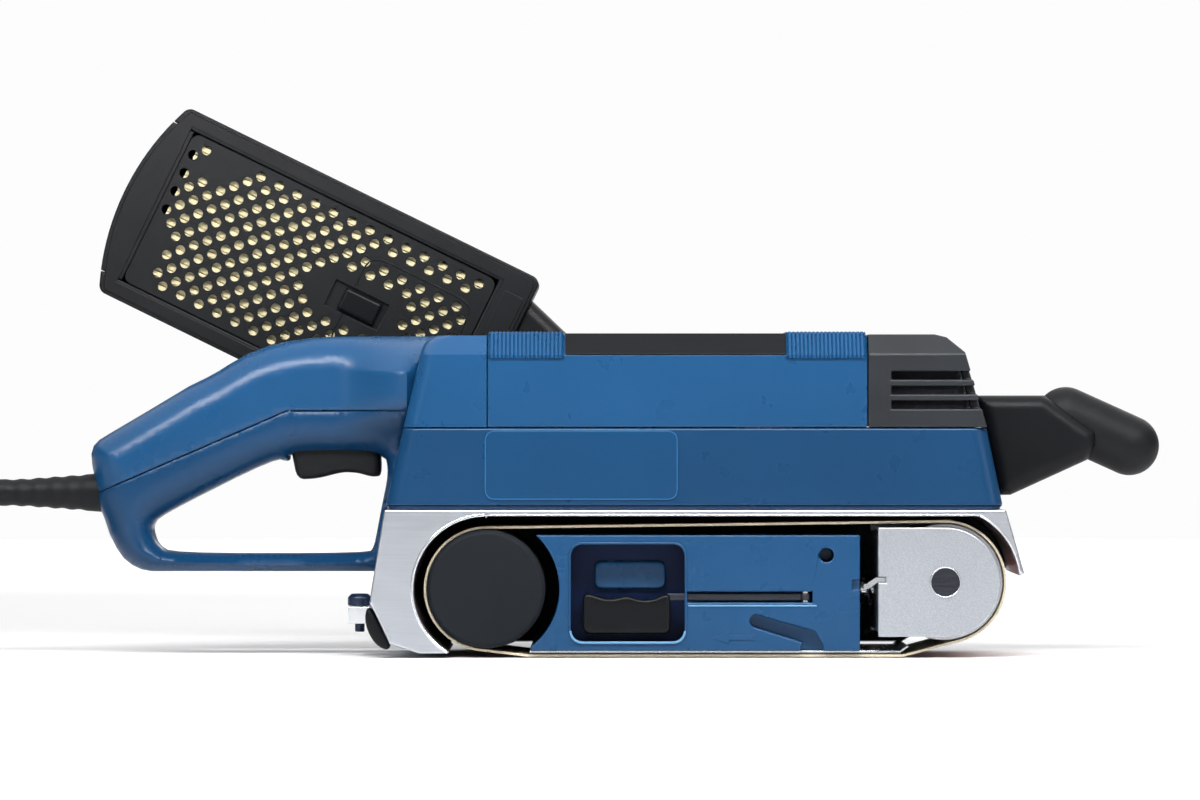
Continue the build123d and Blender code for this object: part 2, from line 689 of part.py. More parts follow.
clamp_x, clamp_y = -147.0, -14.0
with BuildPart() as clamp_bracket:
    with BuildSketch(side_plane(clamp_y + 6)):
        Polygon((-151.5, 13), along(guard_back, guard_low, 13), along(guard_back, guard_low, 20),
                (-151.5, 20), align=None)
    extrude(amount=12)
    with BuildSketch(Plane.XY.offset(12)):
        with Locations((clamp_x, clamp_y)):
            Circle(2 + fit)
    extrude(amount=9, mode=Mode.SUBTRACT)
export("clamp_bracket", clamp_bracket.part)

with BuildPart() as clamp_knob:
    with BuildSketch(Plane.XY.offset(20.3)):
        with Locations((clamp_x, clamp_y)):
            Circle(5)
    extrude(amount=5)
    chamfer(clamp_knob.faces().sort_by(Axis.Z)[-1].edges(), length=1.6)
    with BuildSketch(Plane.XY.offset(9.5)):
        with Locations((clamp_x, clamp_y)):
            Circle(2)
    extrude(amount=10.8)
export("clamp_knob", clamp_knob.part)

with BuildPart() as tracking_knob:
    turned(tracking, 9, 57, 46.5)
    with BuildSketch(side_plane(58)):
        with Locations(tracking):
            with PolarLocations(9.2, 12):
                Circle(0.9)
    extrude(amount=12, mode=Mode.SUBTRACT)
    turned(tracking, 3, 46.5, 41.2)
export("tracking_knob", tracking_knob.part)

# ---------------------------------------------------------------- dust duct, box, filter panel and latch


def tube_section(half_y, half_v):
    """Rounded rectangle across the dust box's long axis, given its half sizes."""
    RectangleRounded(2 * half_y, 2 * half_v, 6)


box_front = box_long / 2
neck_end = box_front + neck_taper + socket_length
duct_start = neck_end + 1.5

with BuildPart() as dust_duct:
    with BuildSketch(box_plane(box_far - 1.5)):
        with Locations((duct_start + 17, 0)):
            RectangleRounded(34, 50, 8)
    extrude(amount=box_far - 1.5 - 60.5)
    with BuildSketch(box_plane(60.5)):
        with Locations((140, 15)):
            Rectangle(16, 18)
    extrude(amount=60.5 - side_far)
    with BuildSketch(across_box(duct_start - 1.5 - spout_long)):
        tube_section(spout_half_y, spout_half_v)
    extrude(amount=spout_long + 2)
    with BuildSketch(across_box(duct_start - 2 - spout_long)):
        tube_section(spout_half_y - 2, spout_half_v - 2)
    extrude(amount=spout_long + 2 + 32, mode=Mode.SUBTRACT)
    with BuildSketch(box_plane(70)):
        with Locations((140, 15)):
            Rectangle(12, 14)
    extrude(amount=25, mode=Mode.SUBTRACT)
export("dust_duct", dust_duct.part)

with BuildPart() as dust_neck:
    neck_half_y = (box_far - box_near) / 2 - 2
    with BuildSketch(across_box(box_front)):
        tube_section(neck_half_y, 34)
    with BuildSketch(across_box(box_front + neck_taper)):
        tube_section(spout_half_y + 2.5, spout_half_v + 2.5)
    loft()
    with BuildSketch(across_box(box_front + neck_taper)):
        tube_section(spout_half_y + 2.5, spout_half_v + 2.5)
    extrude(amount=socket_length)
    with BuildSketch(across_box(box_front)):
        tube_section(neck_half_y - 2, 32)
    with BuildSketch(across_box(box_front + neck_taper)):
        tube_section(spout_half_y + 0.5, spout_half_v + 0.5)
    loft(mode=Mode.SUBTRACT)
    with BuildSketch(across_box(box_front + neck_taper)):
        tube_section(spout_half_y + 0.5, spout_half_v + 0.5)
    extrude(amount=socket_length + 1, mode=Mode.SUBTRACT)
export("dust_neck", dust_neck.part)


def box_outline(inset):
    """Outline of the dust box with its bulged rear end, drawn in by an amount on every side."""
    end, side = box_long / 2 - inset, box_high / 2 - inset
    with BuildLine() as edge:
        Polyline((-end, -side), (end, -side), (end, side), (-end, side))
        ThreePointArc((-end, side), (-end - 9, 0), (-end, -side))
    make_face(edge.edges())


with BuildPart() as dust_case:
    with BuildSketch(box_plane(box_far)):
        box_outline(0)
    extrude(amount=box_far - box_near)
    fillet(dust_case.edges().filter_by(Axis.Y), radius=4)
    with BuildSketch(box_plane(box_far - box_wall)):
        box_outline(box_wall)
    extrude(amount=box_far - box_near - 2 * box_wall - 2, mode=Mode.SUBTRACT)
    with BuildSketch(box_plane(box_near + 10)):
        with Locations(((panel_rear + panel_front) / 2, 0)):
            Rectangle(panel_front - panel_rear + 0.6, 2 * panel_half + 0.6)
    extrude(amount=11, mode=Mode.SUBTRACT)
    with BuildSketch(across_box(box_front - 4)):
        tube_section(neck_half_y - 3, 31)
    extrude(amount=5, mode=Mode.SUBTRACT)
    with BuildSketch(box_plane(box_near + element_depth + 0.6)):
        with Locations((panel_rear - 12, 0)):
            Rectangle(24.6, 2 * panel_half + 0.6)
    extrude(amount=element_depth + 2, mode=Mode.SUBTRACT)
export("dust_case", dust_case.part)

latch_u, latch_v = 17.5, -0.6
with BuildPart() as filter_panel:
    with BuildSketch(box_plane(box_near + 3.4)):
        with Locations(((panel_rear + panel_front) / 2, 0)):
            RectangleRounded(panel_front - panel_rear, 2 * panel_half, 4)
    extrude(amount=2.4)
    with BuildSketch(box_plane(box_near + 3.4)):
        with Locations((latch_u, latch_v)):
            Rectangle(25, 12)
    extrude(amount=3, mode=Mode.SUBTRACT)
    with BuildSketch(box_plane(box_near + element_depth)):
        box_outline(0)
        with Locations((panel_rear - 12, 0)):
            Rectangle(24, 2 * panel_half, mode=Mode.INTERSECT)
    extrude(amount=element_depth)
export("filter_panel", filter_panel.part)

with BuildPart() as filter_element:
    with BuildSketch(box_plane(box_near + element_depth)):
        with Locations(((panel_rear + panel_front) / 2, 0)):
            Rectangle(panel_front - panel_rear - 8, 2 * panel_half - 6)
    extrude(amount=element_depth - 3.8)
export("filter_element", filter_element.part)

with BuildPart() as filter_latch:
    with BuildSketch(box_plane(box_near + 3.2)):
        with Locations((latch_u + 1.5, latch_v)):
            Rectangle(17, 10)
    extrude(amount=4.0)
    chamfer(filter_latch.faces().sort_by(Axis.Y)[0].edges(), length=0.8)
export("filter_latch", filter_latch.part)

# ---------------------------------------------------------------- cord sleeve, cord, coil and plug

with BuildPart() as cord_sleeve:
    with BuildSketch(Plane.YZ.offset(-254)):
        with Locations((0, 66.3)):
            Circle(9.2)
    with BuildSketch(Plane.YZ.offset(-297)):
        with Locations((0, 66.8)):
            Circle(5.8)
    loft()
    with BuildSketch(Plane.YZ.offset(-302)):
        with Locations((0, 66.9)):
            Circle(5.4)
    extrude(amount=5)
    with BuildSketch(Plane.YZ.offset(-254)):
        with Locations((0, 66.3)):
            Circle(9.3)
    extrude(amount=14)
export("cord_sleeve", cord_sleeve.part)

route = [(-302, 0, 66.9), (-324, 0, 67.2), (-347, -1, 60.5), (-367, -3, 46.5), (-386, -5, 32),
         (-407, -6, 22.5), (-427, -4, 20)]
tail = [(-363, 32, 4), (-362.5, 18, 5.5), (-362, 6, 8)]


def corner_radii(points):
    """Radius at each inner point: 0.45 of the shorter run over the tangent of half the turn."""
    runs = [Vector(b) - Vector(a) for a, b in zip(points, points[1:])]
    radii = []
    for before, after in zip(runs, runs[1:]):
        half_turn = radians(before.get_angle(after)) / 2
        radii.append(0.45 * min(before.length, after.length) / tan(half_turn))
    return radii


def cord_run(points):
    """Round cord along straight runs joined by tangent arcs."""
    with BuildLine() as path:
        FilletPolyline(*points, radius=corner_radii(points))
    with BuildSketch(Plane(origin=path.line @ 0, z_dir=path.line % 0)) as section:
        Circle(cord_d / 2)
    sweep(section.sketch, path=path.line)
    return path.wires()[0].length


with BuildPart() as mains_cord:
    laid = cord_run(route)
    laid += cord_run(tail)
export("mains_cord", mains_cord.part)
print("cord radii", [round(r, 1) for r in corner_radii(route) + corner_radii(tail)])
print("cord laid", round(laid, 1), "volume over section times length",
      round(mains_cord.part.volume / (laid * pi * cord_d ** 2 / 4), 4))

with BuildPart() as cord_coil:
    with BuildSketch(Plane(origin=(*coil_centre, 0), x_dir=(1, 0, 0), z_dir=(0, -1, 0))):
        with Locations((coil_mean_r, coil_half)):
            RectangleRounded(2 * coil_half, 2 * coil_half, 4)
    revolve(axis=Axis((*coil_centre, 0), (0, 0, 1)))
export("cord_coil", cord_coil.part)

plug_x, plug_z, plug_y = -362.0, 8.0, 6.0
with BuildPart() as plug_body:
    with BuildSketch(side_plane(plug_y)):
        with Locations((plug_x, plug_z)):
            Circle(5.2)
    with BuildSketch(side_plane(plug_y - 16)):
        with Locations((plug_x, plug_z)):
            Circle(6.6)
    loft()
    with BuildSketch(side_plane(plug_y - 16)):
        with Locations((plug_x, plug_z)):
            RectangleRounded(22, 15, 6)
    with BuildSketch(side_plane(plug_y - 34)):
        with Locations((plug_x, plug_z)):
            RectangleRounded(35, 16, 7)
    loft()
    with BuildSketch(side_plane(plug_y - 34)):
        with Locations((plug_x, plug_z)):
            RectangleRounded(35, 16, 7)
    extrude(amount=16)
export("plug_body", plug_body.part)

with BuildPart() as plug_pins:
    with BuildSketch(side_plane(plug_y - 50)):
        with Locations((plug_x - 9.5, plug_z), (plug_x + 9.5, plug_z)):
            Circle(2.4)
    extrude(amount=19)
export("plug_pins", plug_pins.part)

# ---------------------------------------------------------------- fasteners

with BuildPart() as cover_screws:
    spots = [on_circle(drum, 22.5, 2.6), on_circle(drum, 22.5, -1.6), on_circle(motor, 14.5, 1.2)]
    with BuildSketch(side_plane(drive_cover_far + 1.0)):
        with Locations(*spots):
            Circle(3.0)
    extrude(amount=1.0)
    with BuildSketch(side_plane(drive_cover_far + 1.5)):
        with Locations(*spots):
            Rectangle(4.0, 0.9)
            Rectangle(0.9, 4.0)
    extrude(amount=1.0, mode=Mode.SUBTRACT)
export("cover_screws", cover_screws.part)
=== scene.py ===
"""Looks of the handheld belt sander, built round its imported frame. X points to the front, Z up, in metres."""
import math

import bmesh
import bpy
import numpy as np
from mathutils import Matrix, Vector, geometry


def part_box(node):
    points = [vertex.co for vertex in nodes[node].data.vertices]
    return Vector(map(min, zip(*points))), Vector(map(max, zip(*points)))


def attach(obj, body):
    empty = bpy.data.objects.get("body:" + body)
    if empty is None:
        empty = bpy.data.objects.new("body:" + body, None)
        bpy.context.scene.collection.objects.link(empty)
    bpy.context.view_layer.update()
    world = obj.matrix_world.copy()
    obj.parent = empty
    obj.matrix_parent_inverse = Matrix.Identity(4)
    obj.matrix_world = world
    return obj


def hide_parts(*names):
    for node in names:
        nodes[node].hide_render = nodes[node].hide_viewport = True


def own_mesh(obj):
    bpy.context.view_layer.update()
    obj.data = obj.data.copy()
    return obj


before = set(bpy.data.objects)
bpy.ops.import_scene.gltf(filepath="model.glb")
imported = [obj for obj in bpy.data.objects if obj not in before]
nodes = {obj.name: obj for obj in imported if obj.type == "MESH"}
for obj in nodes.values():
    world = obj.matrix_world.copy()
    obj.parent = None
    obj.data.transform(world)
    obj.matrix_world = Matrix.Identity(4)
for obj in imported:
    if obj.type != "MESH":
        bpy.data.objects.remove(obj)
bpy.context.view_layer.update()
scene = bpy.context.scene
MM = 0.001

# ---------------------------------------------------------------- camera

lens = bpy.data.cameras.new("camera")
lens.sensor_width = 36.0
lens.lens = 197.6
lens.clip_end = 50.0
camera = bpy.data.objects.new("camera", lens)
camera.location = (-0.0476, -2.740, 0.1054)
camera.rotation_euler = (math.radians(90), 0, 0)
scene.collection.objects.link(camera)
scene.camera = camera


# ---------------------------------------------------------------- materials

def srgb(r, g, b):
    """Linear colour of an 8-bit screen colour."""
    parts = [c / 255 for c in (r, g, b)]
    return (*[c / 12.92 if c <= 0.04045 else ((c + 0.055) / 1.055) ** 2.4 for c in parts], 1.0)


class Finish:
    """A Principled material whose colour, roughness and relief come from nodes in the part's own frame."""

    def __init__(self, name, colour, rough, metallic=0.0, specular=0.5):
        self.material = bpy.data.materials.new(name)
        self.material.use_nodes = True
        self.tree = self.material.node_tree
        self.shader = self.tree.nodes["Principled BSDF"]
        self.shader.inputs["Base Color"].default_value = colour
        self.shader.inputs["Roughness"].default_value = rough
        self.shader.inputs["Metallic"].default_value = metallic
        self.shader.inputs["Specular IOR Level"].default_value = specular
        self.last_bump = None

    def node(self, kind):
        """A new node of the material."""
        return self.tree.nodes.new(kind)

    def place(self, stretch=(1, 1, 1)):
        """Where a point lies in the part's frame, stretched along the axes."""
        where = self.node("ShaderNodeTexCoord")
        scaled = self.node("ShaderNodeMapping")
        scaled.inputs["Scale"].default_value = stretch
        self.tree.links.new(where.outputs["Object"], scaled.inputs["Vector"])
        return scaled.outputs["Vector"]

    def noise(self, scale, stretch=(1, 1, 1), detail=3.0):
        """Soft noise."""
        made = self.node("ShaderNodeTexNoise")
        made.inputs["Scale"].default_value = scale
        made.inputs["Detail"].default_value = detail
        self.tree.links.new(self.place(stretch), made.inputs["Vector"])
        return made.outputs["Fac"]

    def cells(self, scale):
        """Grains: the distance to the nearest of scattered points."""
        made = self.node("ShaderNodeTexVoronoi")
        made.inputs["Scale"].default_value = scale
        self.tree.links.new(self.place(), made.inputs["Vector"])
        return made.outputs["Distance"]

    def waves(self, scale, axis):
        """Even bands across an axis."""
        made = self.node("ShaderNodeTexWave")
        made.bands_direction = axis
        made.inputs["Scale"].default_value = scale
        self.tree.links.new(self.place(), made.inputs["Vector"])
        return made.outputs["Fac"]

    def ramp(self, value, stops):
        """Colours blended between stops, by a value between 0 and 1."""
        made = self.node("ShaderNodeValToRGB")
        for k, (at, colour) in enumerate(stops):
            stop = made.color_ramp.elements[k] if k < 2 else made.color_ramp.elements.new(at)
            stop.position = at
            stop.color = colour
        self.tree.links.new(value, made.inputs["Fac"])
        return made.outputs["Color"]

    def tint(self, value, stops):
        """Colour from a value between 0 and 1."""
        self.tree.links.new(self.ramp(value, stops), self.shader.inputs["Base Color"])
        return self

    def gloss(self, value, low, high):
        """Roughness that varies between low and high."""
        made = self.node("ShaderNodeMapRange")
        made.inputs["To Min"].default_value = low
        made.inputs["To Max"].default_value = high
        self.tree.links.new(value, made.inputs["Value"])
        self.tree.links.new(made.outputs["Result"], self.shader.inputs["Roughness"])
        return self

    def relief(self, value, depth):
        """Relief of a given depth, added to what is there."""
        made = self.node("ShaderNodeBump")
        made.inputs["Distance"].default_value = depth
        self.tree.links.new(value, made.inputs["Height"])
        if self.last_bump:
            self.tree.links.new(self.last_bump.outputs["Normal"], made.inputs["Normal"])
        self.tree.links.new(made.outputs["Normal"], self.shader.inputs["Normal"])
        self.last_bump = made
        return self


def shades(colour, spread):
    """Two stops, a little darker and a little lighter than a colour."""
    darker = [c * (1 - spread) for c in colour[:3]]
    lighter = [c * (1 + spread) for c in colour[:3]]
    return [(0.3, (*darker, 1)), (0.7, (*lighter, 1))]


def plastic(name, colour, rough, grain, depth, spread=0.06, specular=0.5):
    """Moulded plastic: a fine grain, a slow drift of colour and a slightly uneven gloss."""
    made = Finish(name, colour, rough, specular=specular)
    made.tint(made.noise(18, detail=2), shades(colour, spread))
    made.gloss(made.noise(70), rough * 0.88, min(1.0, rough * 1.14))
    made.relief(made.noise(grain, detail=2), depth)
    return made


def metal(name, colour, rough, brush=(1, 1, 1), scale=900, depth=0.00002, spread=0.12):
    """Machined, cast or drawn metal, with its tool marks along the axes that brush leaves long."""
    made = Finish(name, colour, rough, metallic=1.0)
    made.tint(made.noise(scale, brush, detail=4), shades(colour, spread))
    made.gloss(made.noise(scale * 0.6, brush, detail=3), rough * 0.75, min(1.0, rough * 1.35))
    made.relief(made.noise(scale, brush, detail=3), depth)
    return made


blue = plastic("moulded_blue", srgb(16, 62, 100), 0.28, 700, 0.000003, 0.06, specular=0.3)
# A darker copy of moulded_blue for the lower housing and the handle frame: painted shade, since these lower
# parts get less light than the covers above
blue_with_painted_shade = plastic("blue_with_painted_shade", srgb(12, 52, 86), 0.28, 700, 0.000003, 0.06, specular=0.25)
# A darker navy for the floor and walls of the finger recess: painted shade where the recess would shadow itself
recess_shade_paint = plastic("recess_painted_shade", srgb(6, 24, 56), 0.45, 700, 0.000003, 0.06, specular=0.15)
# A light blue for the lower lips of the finger recess and the slot: painted highlight where these edges catch
# the light
lip_painted_highlight = plastic("lip_painted_highlight", srgb(84, 138, 178), 0.25, 700, 0.000003, 0.06, specular=0.5)
black = plastic("moulded_black", srgb(11, 13, 16), 0.42, 2600, 0.00003, 0.15, specular=0.16)
vent_black = plastic("vent_black", srgb(27, 30, 34), 0.44, 2200, 0.00006, 0.2, specular=0.3)
ribbed_black = plastic("smooth_black", srgb(10, 12, 15), 0.34, 1800, 0.00001, 0.12, specular=0.16)
soft_black = plastic("soft_grip", srgb(10, 12, 15), 0.52, 3000, 0.00003, 0.15, specular=0.2)
box_black = plastic("sparked_black", srgb(11, 13, 16), 0.42, 2200, 0.00007, 0.2, specular=0.22)
lagging_look = plastic("drum_rubber", srgb(18, 17, 18), 0.75, 2500, 0.00004, 0.2)
cap_look = plastic("drum_cap", srgb(18, 22, 27), 0.66, 3000, 0.00003, 0.12, specular=0.15)
foil = plastic("label_foil", srgb(12, 55, 90), 0.22, 600, 0.00001, 0.03, specular=0.3)
foil_edge = plastic("label_edge", srgb(14, 86, 134), 0.3, 600, 0.00001, 0.03)
knob_look = plastic("knob_blue", srgb(10, 26, 52), 0.3, 1500, 0.00001, 0.1, specular=0.4)
cord_look = plastic("cord_rubber", srgb(11, 11, 13), 0.5, 1800, 0.00003, 0.15)
belt_rubber = plastic("timing_rubber", srgb(26, 26, 27), 0.7, 2400, 0.00003, 0.15)
alloy = metal("cast_alloy", srgb(186, 190, 197), 0.36, (0.03, 0.3, 1), 1600, 0.00001, 0.05)
bright = metal("polished_alloy", srgb(226, 229, 233), 0.16, (0.05, 1, 1), 900, 0.00001, 0.05)
cheek_look = metal("satin_steel", srgb(184, 188, 195), 0.38, (1, 1, 1), 2600, 0.00003, 0.22)
steel = metal("turned_steel", srgb(190, 192, 196), 0.24, (1, 0.05, 1), 1500, 0.00001, 0.1)
drum_alloy = metal("drum_aluminium", srgb(182, 184, 188), 0.34, (1, 0.05, 1), 1200, 0.00002, 0.1)
chrome = metal("chrome", srgb(214, 216, 220), 0.1, (1, 1, 1), 300, 0.000005, 0.04)
sheets = metal("laminations", srgb(120, 120, 124), 0.5, (0.02, 1, 0.02), 2000, 0.0001, 0.3)
copper = metal("copper", srgb(196, 110, 64), 0.3, (1, 0.1, 1), 1200, 0.00002, 0.15)
brass = metal("brass", srgb(206, 178, 110), 0.22, (1, 1, 1), 900, 0.00001, 0.08)
foam_look = plastic("intake_foam", srgb(14, 16, 24), 0.95, 700, 0.0006, 0.4)
# A dark metal for the inside of the chassis's far wall: painted shade for the wall lying deep behind the belt
wall_painted_shade = metal("shadowed_wall", srgb(44, 46, 50), 0.55, (1, 1, 1), 900, 0.00004, 0.2)
dark_steel = metal("blackened_steel", srgb(62, 64, 70), 0.38, (0.05, 1, 1), 1400, 0.00002, 0.2)
carbon = plastic("carbon", srgb(30, 30, 32), 0.6, 2600, 0.00003, 0.2)

grit = Finish("abrasive", srgb(92, 42, 34), 0.85)
grit.tint(grit.cells(2300), [(0.0, srgb(84, 34, 28)), (0.55, srgb(146, 66, 50)), (0.95, srgb(206, 130, 106))])
grit.relief(grit.cells(2300), 0.00025).relief(grit.noise(900), 0.0001)
cloth = Finish("belt_cloth", srgb(196, 184, 160), 0.85)
cloth.tint(cloth.noise(1200, (1, 0.2, 1)), shades(srgb(196, 184, 160), 0.15))
cloth.relief(cloth.waves(260, "Y"), 0.00006).relief(cloth.waves(260, "X"), 0.00006)
pad_look = plastic("graphite_pad", srgb(52, 48, 46), 0.6, 1400, 0.00006, 0.25)
paper = Finish("filter_paper", srgb(246, 234, 190), 0.9)
paper.tint(paper.noise(900, detail=4), shades(srgb(248, 236, 190), 0.08))
paper.relief(paper.noise(2500), 0.00004)
floor_look = Finish("floor", (0.82, 0.82, 0.82, 1), 0.9)
floor_look.tint(floor_look.noise(3), [(0.3, (0.81, 0.81, 0.815, 1)), (0.7, (0.83, 0.83, 0.83, 1))])

# ---------------------------------------------------------------- pieces

BARE_REACH = 0.016  # how far round bare_of no edge is rounded


def link(name, mesh, finish, body="root", slot=None, replaced=(), sharp=35):
    """Adds a mesh as a piece of a body, smooth but for its sharp edges."""
    piece = bpy.data.objects.new(name, mesh)
    scene.collection.objects.link(piece)
    mesh.shade_smooth()
    mesh.set_sharp_from_angle(angle=math.radians(sharp))
    mesh.materials.clear()
    mesh.materials.append(finish.material)
    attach(piece, body)
    if replaced:
        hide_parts(*replaced)
    return piece


def eased(node, finish, body="root", slot=None, width=0.5, segments=2, angle=28, bare_of=None, clamp=False):
    """A copy of a CAD node with its edges rounded, standing for it. With bare_of, a point, the mesh's own
    triangles are kept, flat walls are shaded flat, and edges near the point stay sharp."""
    mesh = nodes[node].data.copy()
    work = bmesh.new()
    work.from_mesh(mesh)
    bmesh.ops.remove_doubles(work, verts=work.verts, dist=0.000002)
    if bare_of is None:
        bmesh.ops.dissolve_limit(work, angle_limit=math.radians(0.4), verts=work.verts, edges=work.edges,
                                 delimit={"NORMAL"})
    else:
        weight = work.edges.layers.float.new("bevel_weight_edge")
        for edge in work.edges:
            middle = (edge.verts[0].co + edge.verts[1].co) / 2
            if edge.calc_face_angle(0) > math.radians(angle) and (middle - bare_of).length > BARE_REACH:
                edge[weight] = 1.0
    work.to_mesh(mesh)
    work.free()
    piece = link(node + "_looks", mesh, finish, body, slot, (node,))
    if bare_of is not None:
        for face in mesh.polygons:
            face.use_smooth = max(abs(part) for part in face.normal) < 0.9999
    rounding = piece.modifiers.new("edges", "BEVEL")
    rounding.width = width * MM
    rounding.segments = segments
    rounding.limit_method = "ANGLE" if bare_of is None else "WEIGHT"
    rounding.angle_limit = math.radians(angle)
    rounding.use_clamp_overlap = clamp
    even_out = piece.modifiers.new("normals", "WEIGHTED_NORMAL")
    even_out.keep_sharp = True
    return piece


def second_finish(piece, finish, test):
    """Gives the faces that a test picks, by their middle and normal, another material."""
    piece.data.materials.append(finish.material)
    for face in piece.data.polygons:
        if test(face.center, face.normal):
            face.material_index = len(piece.data.materials) - 1


def painted(node, finish):
    """A CAD node that keeps its shape gets its material."""
    mesh = nodes[node].data
    mesh.materials.clear()
    mesh.materials.append(finish.material)


# ---------------------------------------------------------------- mains cord

CORD_HEIGHT = 0.0669
route = [(-0.302, 0, CORD_HEIGHT), (-0.324, 0, 0.0672), (-0.347, -0.001, 0.0605), (-0.367, -0.003, 0.0465),
         (-0.386, -0.005, 0.032), (-0.407, -0.006, 0.0225), (-0.427, -0.004, 0.020)]
tail = [(-0.363, 0.032, 0.004), (-0.3625, 0.018, 0.0055), (-0.362, 0.006, 0.008)]
coil_middle = (-0.418, 0.042)
layers = [(48, 20), (40, 20), (40, 12), (40, 4), (48, 4), (48, 12), (56, 20), (56, 12), (56, 4)]
points_a_turn = 16
cord_points = list(route)
first_angle = -112.5
steps = int((first_angle + 360 * len(layers)) / (360 / points_a_turn))
for step in range(steps):
    angle = first_angle - step * 360 / points_a_turn
    turn = -angle / 360
    whole = min(int(turn), len(layers) - 1)
    late = max(0.0, (turn - whole - 0.8) / 0.2) if whole < len(layers) - 1 else 0.0
    late = late * late * (3 - 2 * late)
    here, there = layers[whole], layers[min(whole + 1, len(layers) - 1)]
    radius = (here[0] + (there[0] - here[0]) * late) * MM / math.cos(math.pi / points_a_turn)
    height = (here[1] + (there[1] - here[1]) * late) * MM
    turned = math.radians(angle)
    cord_points.append((coil_middle[0] + radius * math.cos(turned),
                        coil_middle[1] + radius * math.sin(turned), height))
cord_points += tail


def nurbs(name, points, thickness, sides=4):
    """A smooth round cord through space, with the points as its control points."""
    curve = bpy.data.curves.new(name, "CURVE")
    curve.dimensions = "3D"
    line = curve.splines.new("NURBS")
    line.points.add(len(points) - 1)
    for point, place in zip(line.points, points):
        point.co = (*place, 1)
    line.order_u = 3
    line.use_endpoint_u = True
    line.resolution_u = 6
    curve.bevel_depth = thickness / 2
    curve.bevel_resolution = sides
    curve.use_fill_caps = True
    made = bpy.data.objects.new(name, curve)
    scene.collection.objects.link(made)
    return made


cord = nurbs("cord", cord_points, 0.008)
cord.data.materials.append(cord_look.material)
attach(cord, "root")
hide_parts("mains_cord", "cord_coil")
plug = eased("plug_body", black, slot="black_plastic", width=0.8, segments=3)
pins = eased("plug_pins", brass, slot="steel", width=0.3)


def sleeve_section(along, radius, count=40):
    """A ring of points square to the cord's exit."""
    return [(along, radius * math.cos(2 * math.pi * k / count),
             CORD_HEIGHT + radius * math.sin(2 * math.pi * k / count))
            for k in range(count)]


def finished(work, name):
    """The mesh of a solid, with its normals facing out."""
    bmesh.ops.recalc_face_normals(work, faces=work.faces)
    mesh = bpy.data.meshes.new(name)
    work.to_mesh(mesh)
    work.free()
    return mesh


def skin(name, rings, finish, body="root", slot=None, replaced=(), sharp=35):
    """A tube through closed rings of points, with its ends closed."""
    work = bmesh.new()
    rows = [[work.verts.new(p) for p in row] for row in rings]
    for one, two in zip(rows, rows[1:]):
        for k in range(len(one)):
            n = (k + 1) % len(one)
            work.faces.new((one[k], one[n], two[n], two[k]))
    work.faces.new(rows[0][::-1])
    work.faces.new(rows[-1])
    return link(name, finished(work, name), finish, body, slot, replaced, sharp)


# Strain relief: a tapered rubber sleeve with a collar and ring grooves
sleeve_low, sleeve_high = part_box("cord_sleeve")
profile = []
for k in range(97):
    share = k / 96
    x = sleeve_high.x + (sleeve_low.x - sleeve_high.x) * share
    base = 9.1 - 3.3 * min(1.0, share / 0.75) - 0.4 * max(0.0, (share - 0.75) / 0.25)
    groove = 0.22 * (1 - math.cos(2 * math.pi * share * 9)) if 0.33 < share < 0.89 else 0.0
    profile.append((x, (base - groove) * MM))
profile[0] = (profile[0][0], profile[0][1] * 0.93)
profile[-1] = (profile[-1][0], profile[-1][1] * 0.93)
skin("cord_sleeve_looks", [sleeve_section(x, r) for x, r in profile], soft_black, slot="soft_grip",
     replaced=["cord_sleeve"])

# ---------------------------------------------------------------- rounded slabs


def even(loop, step):
    """Points at about even steps round a closed loop, its corners kept."""
    loop = np.array(loop, float)
    out = []
    for a, b in zip(loop, np.roll(loop, -1, 0)):
        count = max(1, int(round(np.linalg.norm(b - a) / step)))
        out += [a + (b - a) * k / count for k in range(count)]
    return np.array(out)


def softened(loop, rounds=2, share=0.25):
    """A closed loop with its corners cut, then cut again."""
    loop = np.array(loop, float)
    for _ in range(rounds):
        after = np.roll(loop, -1, 0)
        loop = np.stack([loop * (1 - share) + after * share, loop * share + after * (1 - share)],
                        1).reshape(-1, 2)
    return loop


def gap(points, loops):
    """Distance from each point to the nearest edge of the closed loops."""
    best = np.full(len(points), 1e9)
    for loop in loops:
        for part in np.array_split(np.arange(len(loop)), max(1, len(loop) // 100)):
            a = loop[part]
            ab = np.roll(loop, -1, 0)[part] - a
            ap = points[:, None] - a[None]
            t = np.clip((ap * ab).sum(2) / np.maximum((ab ** 2).sum(1), 1e-12), 0, 1)
            best = np.minimum(best, np.linalg.norm(ap - t[..., None] * ab, axis=2).min(1))
    return best


def inside(points, loops):
    """Whether each point is within an odd number of the closed loops."""
    odd = np.zeros(len(points), bool)
    x, z = points[:, 0], points[:, 1]
    for loop in loops:
        for (x0, z0), (x1, z1) in zip(loop, np.roll(loop, -1, 0)):
            if z0 != z1:
                odd ^= ((z0 > z) != (z1 > z)) & (x < (x1 - x0) * (z - z0) / (z1 - z0) + x0)
    return odd


def filled(region, extra):
    """Triangles that fill the loops of a region, using the extra points too."""
    points, edges = [], []
    for loop in region:
        base = len(points)
        points += [Vector(p) for p in loop]
        edges += [(base + k, base + (k + 1) % len(loop)) for k in range(len(loop))]
    points += [Vector(p) for p in extra]
    flat, _, faces, _, _, _ = geometry.delaunay_2d_cdt(points, edges, [], 0, 1e-5)
    flat = np.array([tuple(p) for p in flat])
    centres = np.array([flat[list(f)].mean(0) for f in faces])
    keep = inside(centres, region)
    return flat, [f for f, k in zip(faces, keep) if k]


def side_normals(loop):
    """Unit normals in the plane at the points of a closed loop."""
    tangent = np.roll(loop, -1, 0) - np.roll(loop, 1, 0)
    tangent /= np.maximum(np.linalg.norm(tangent, axis=1)[:, None], 1e-9)
    return np.stack([-tangent[:, 1], tangent[:, 0]], 1)


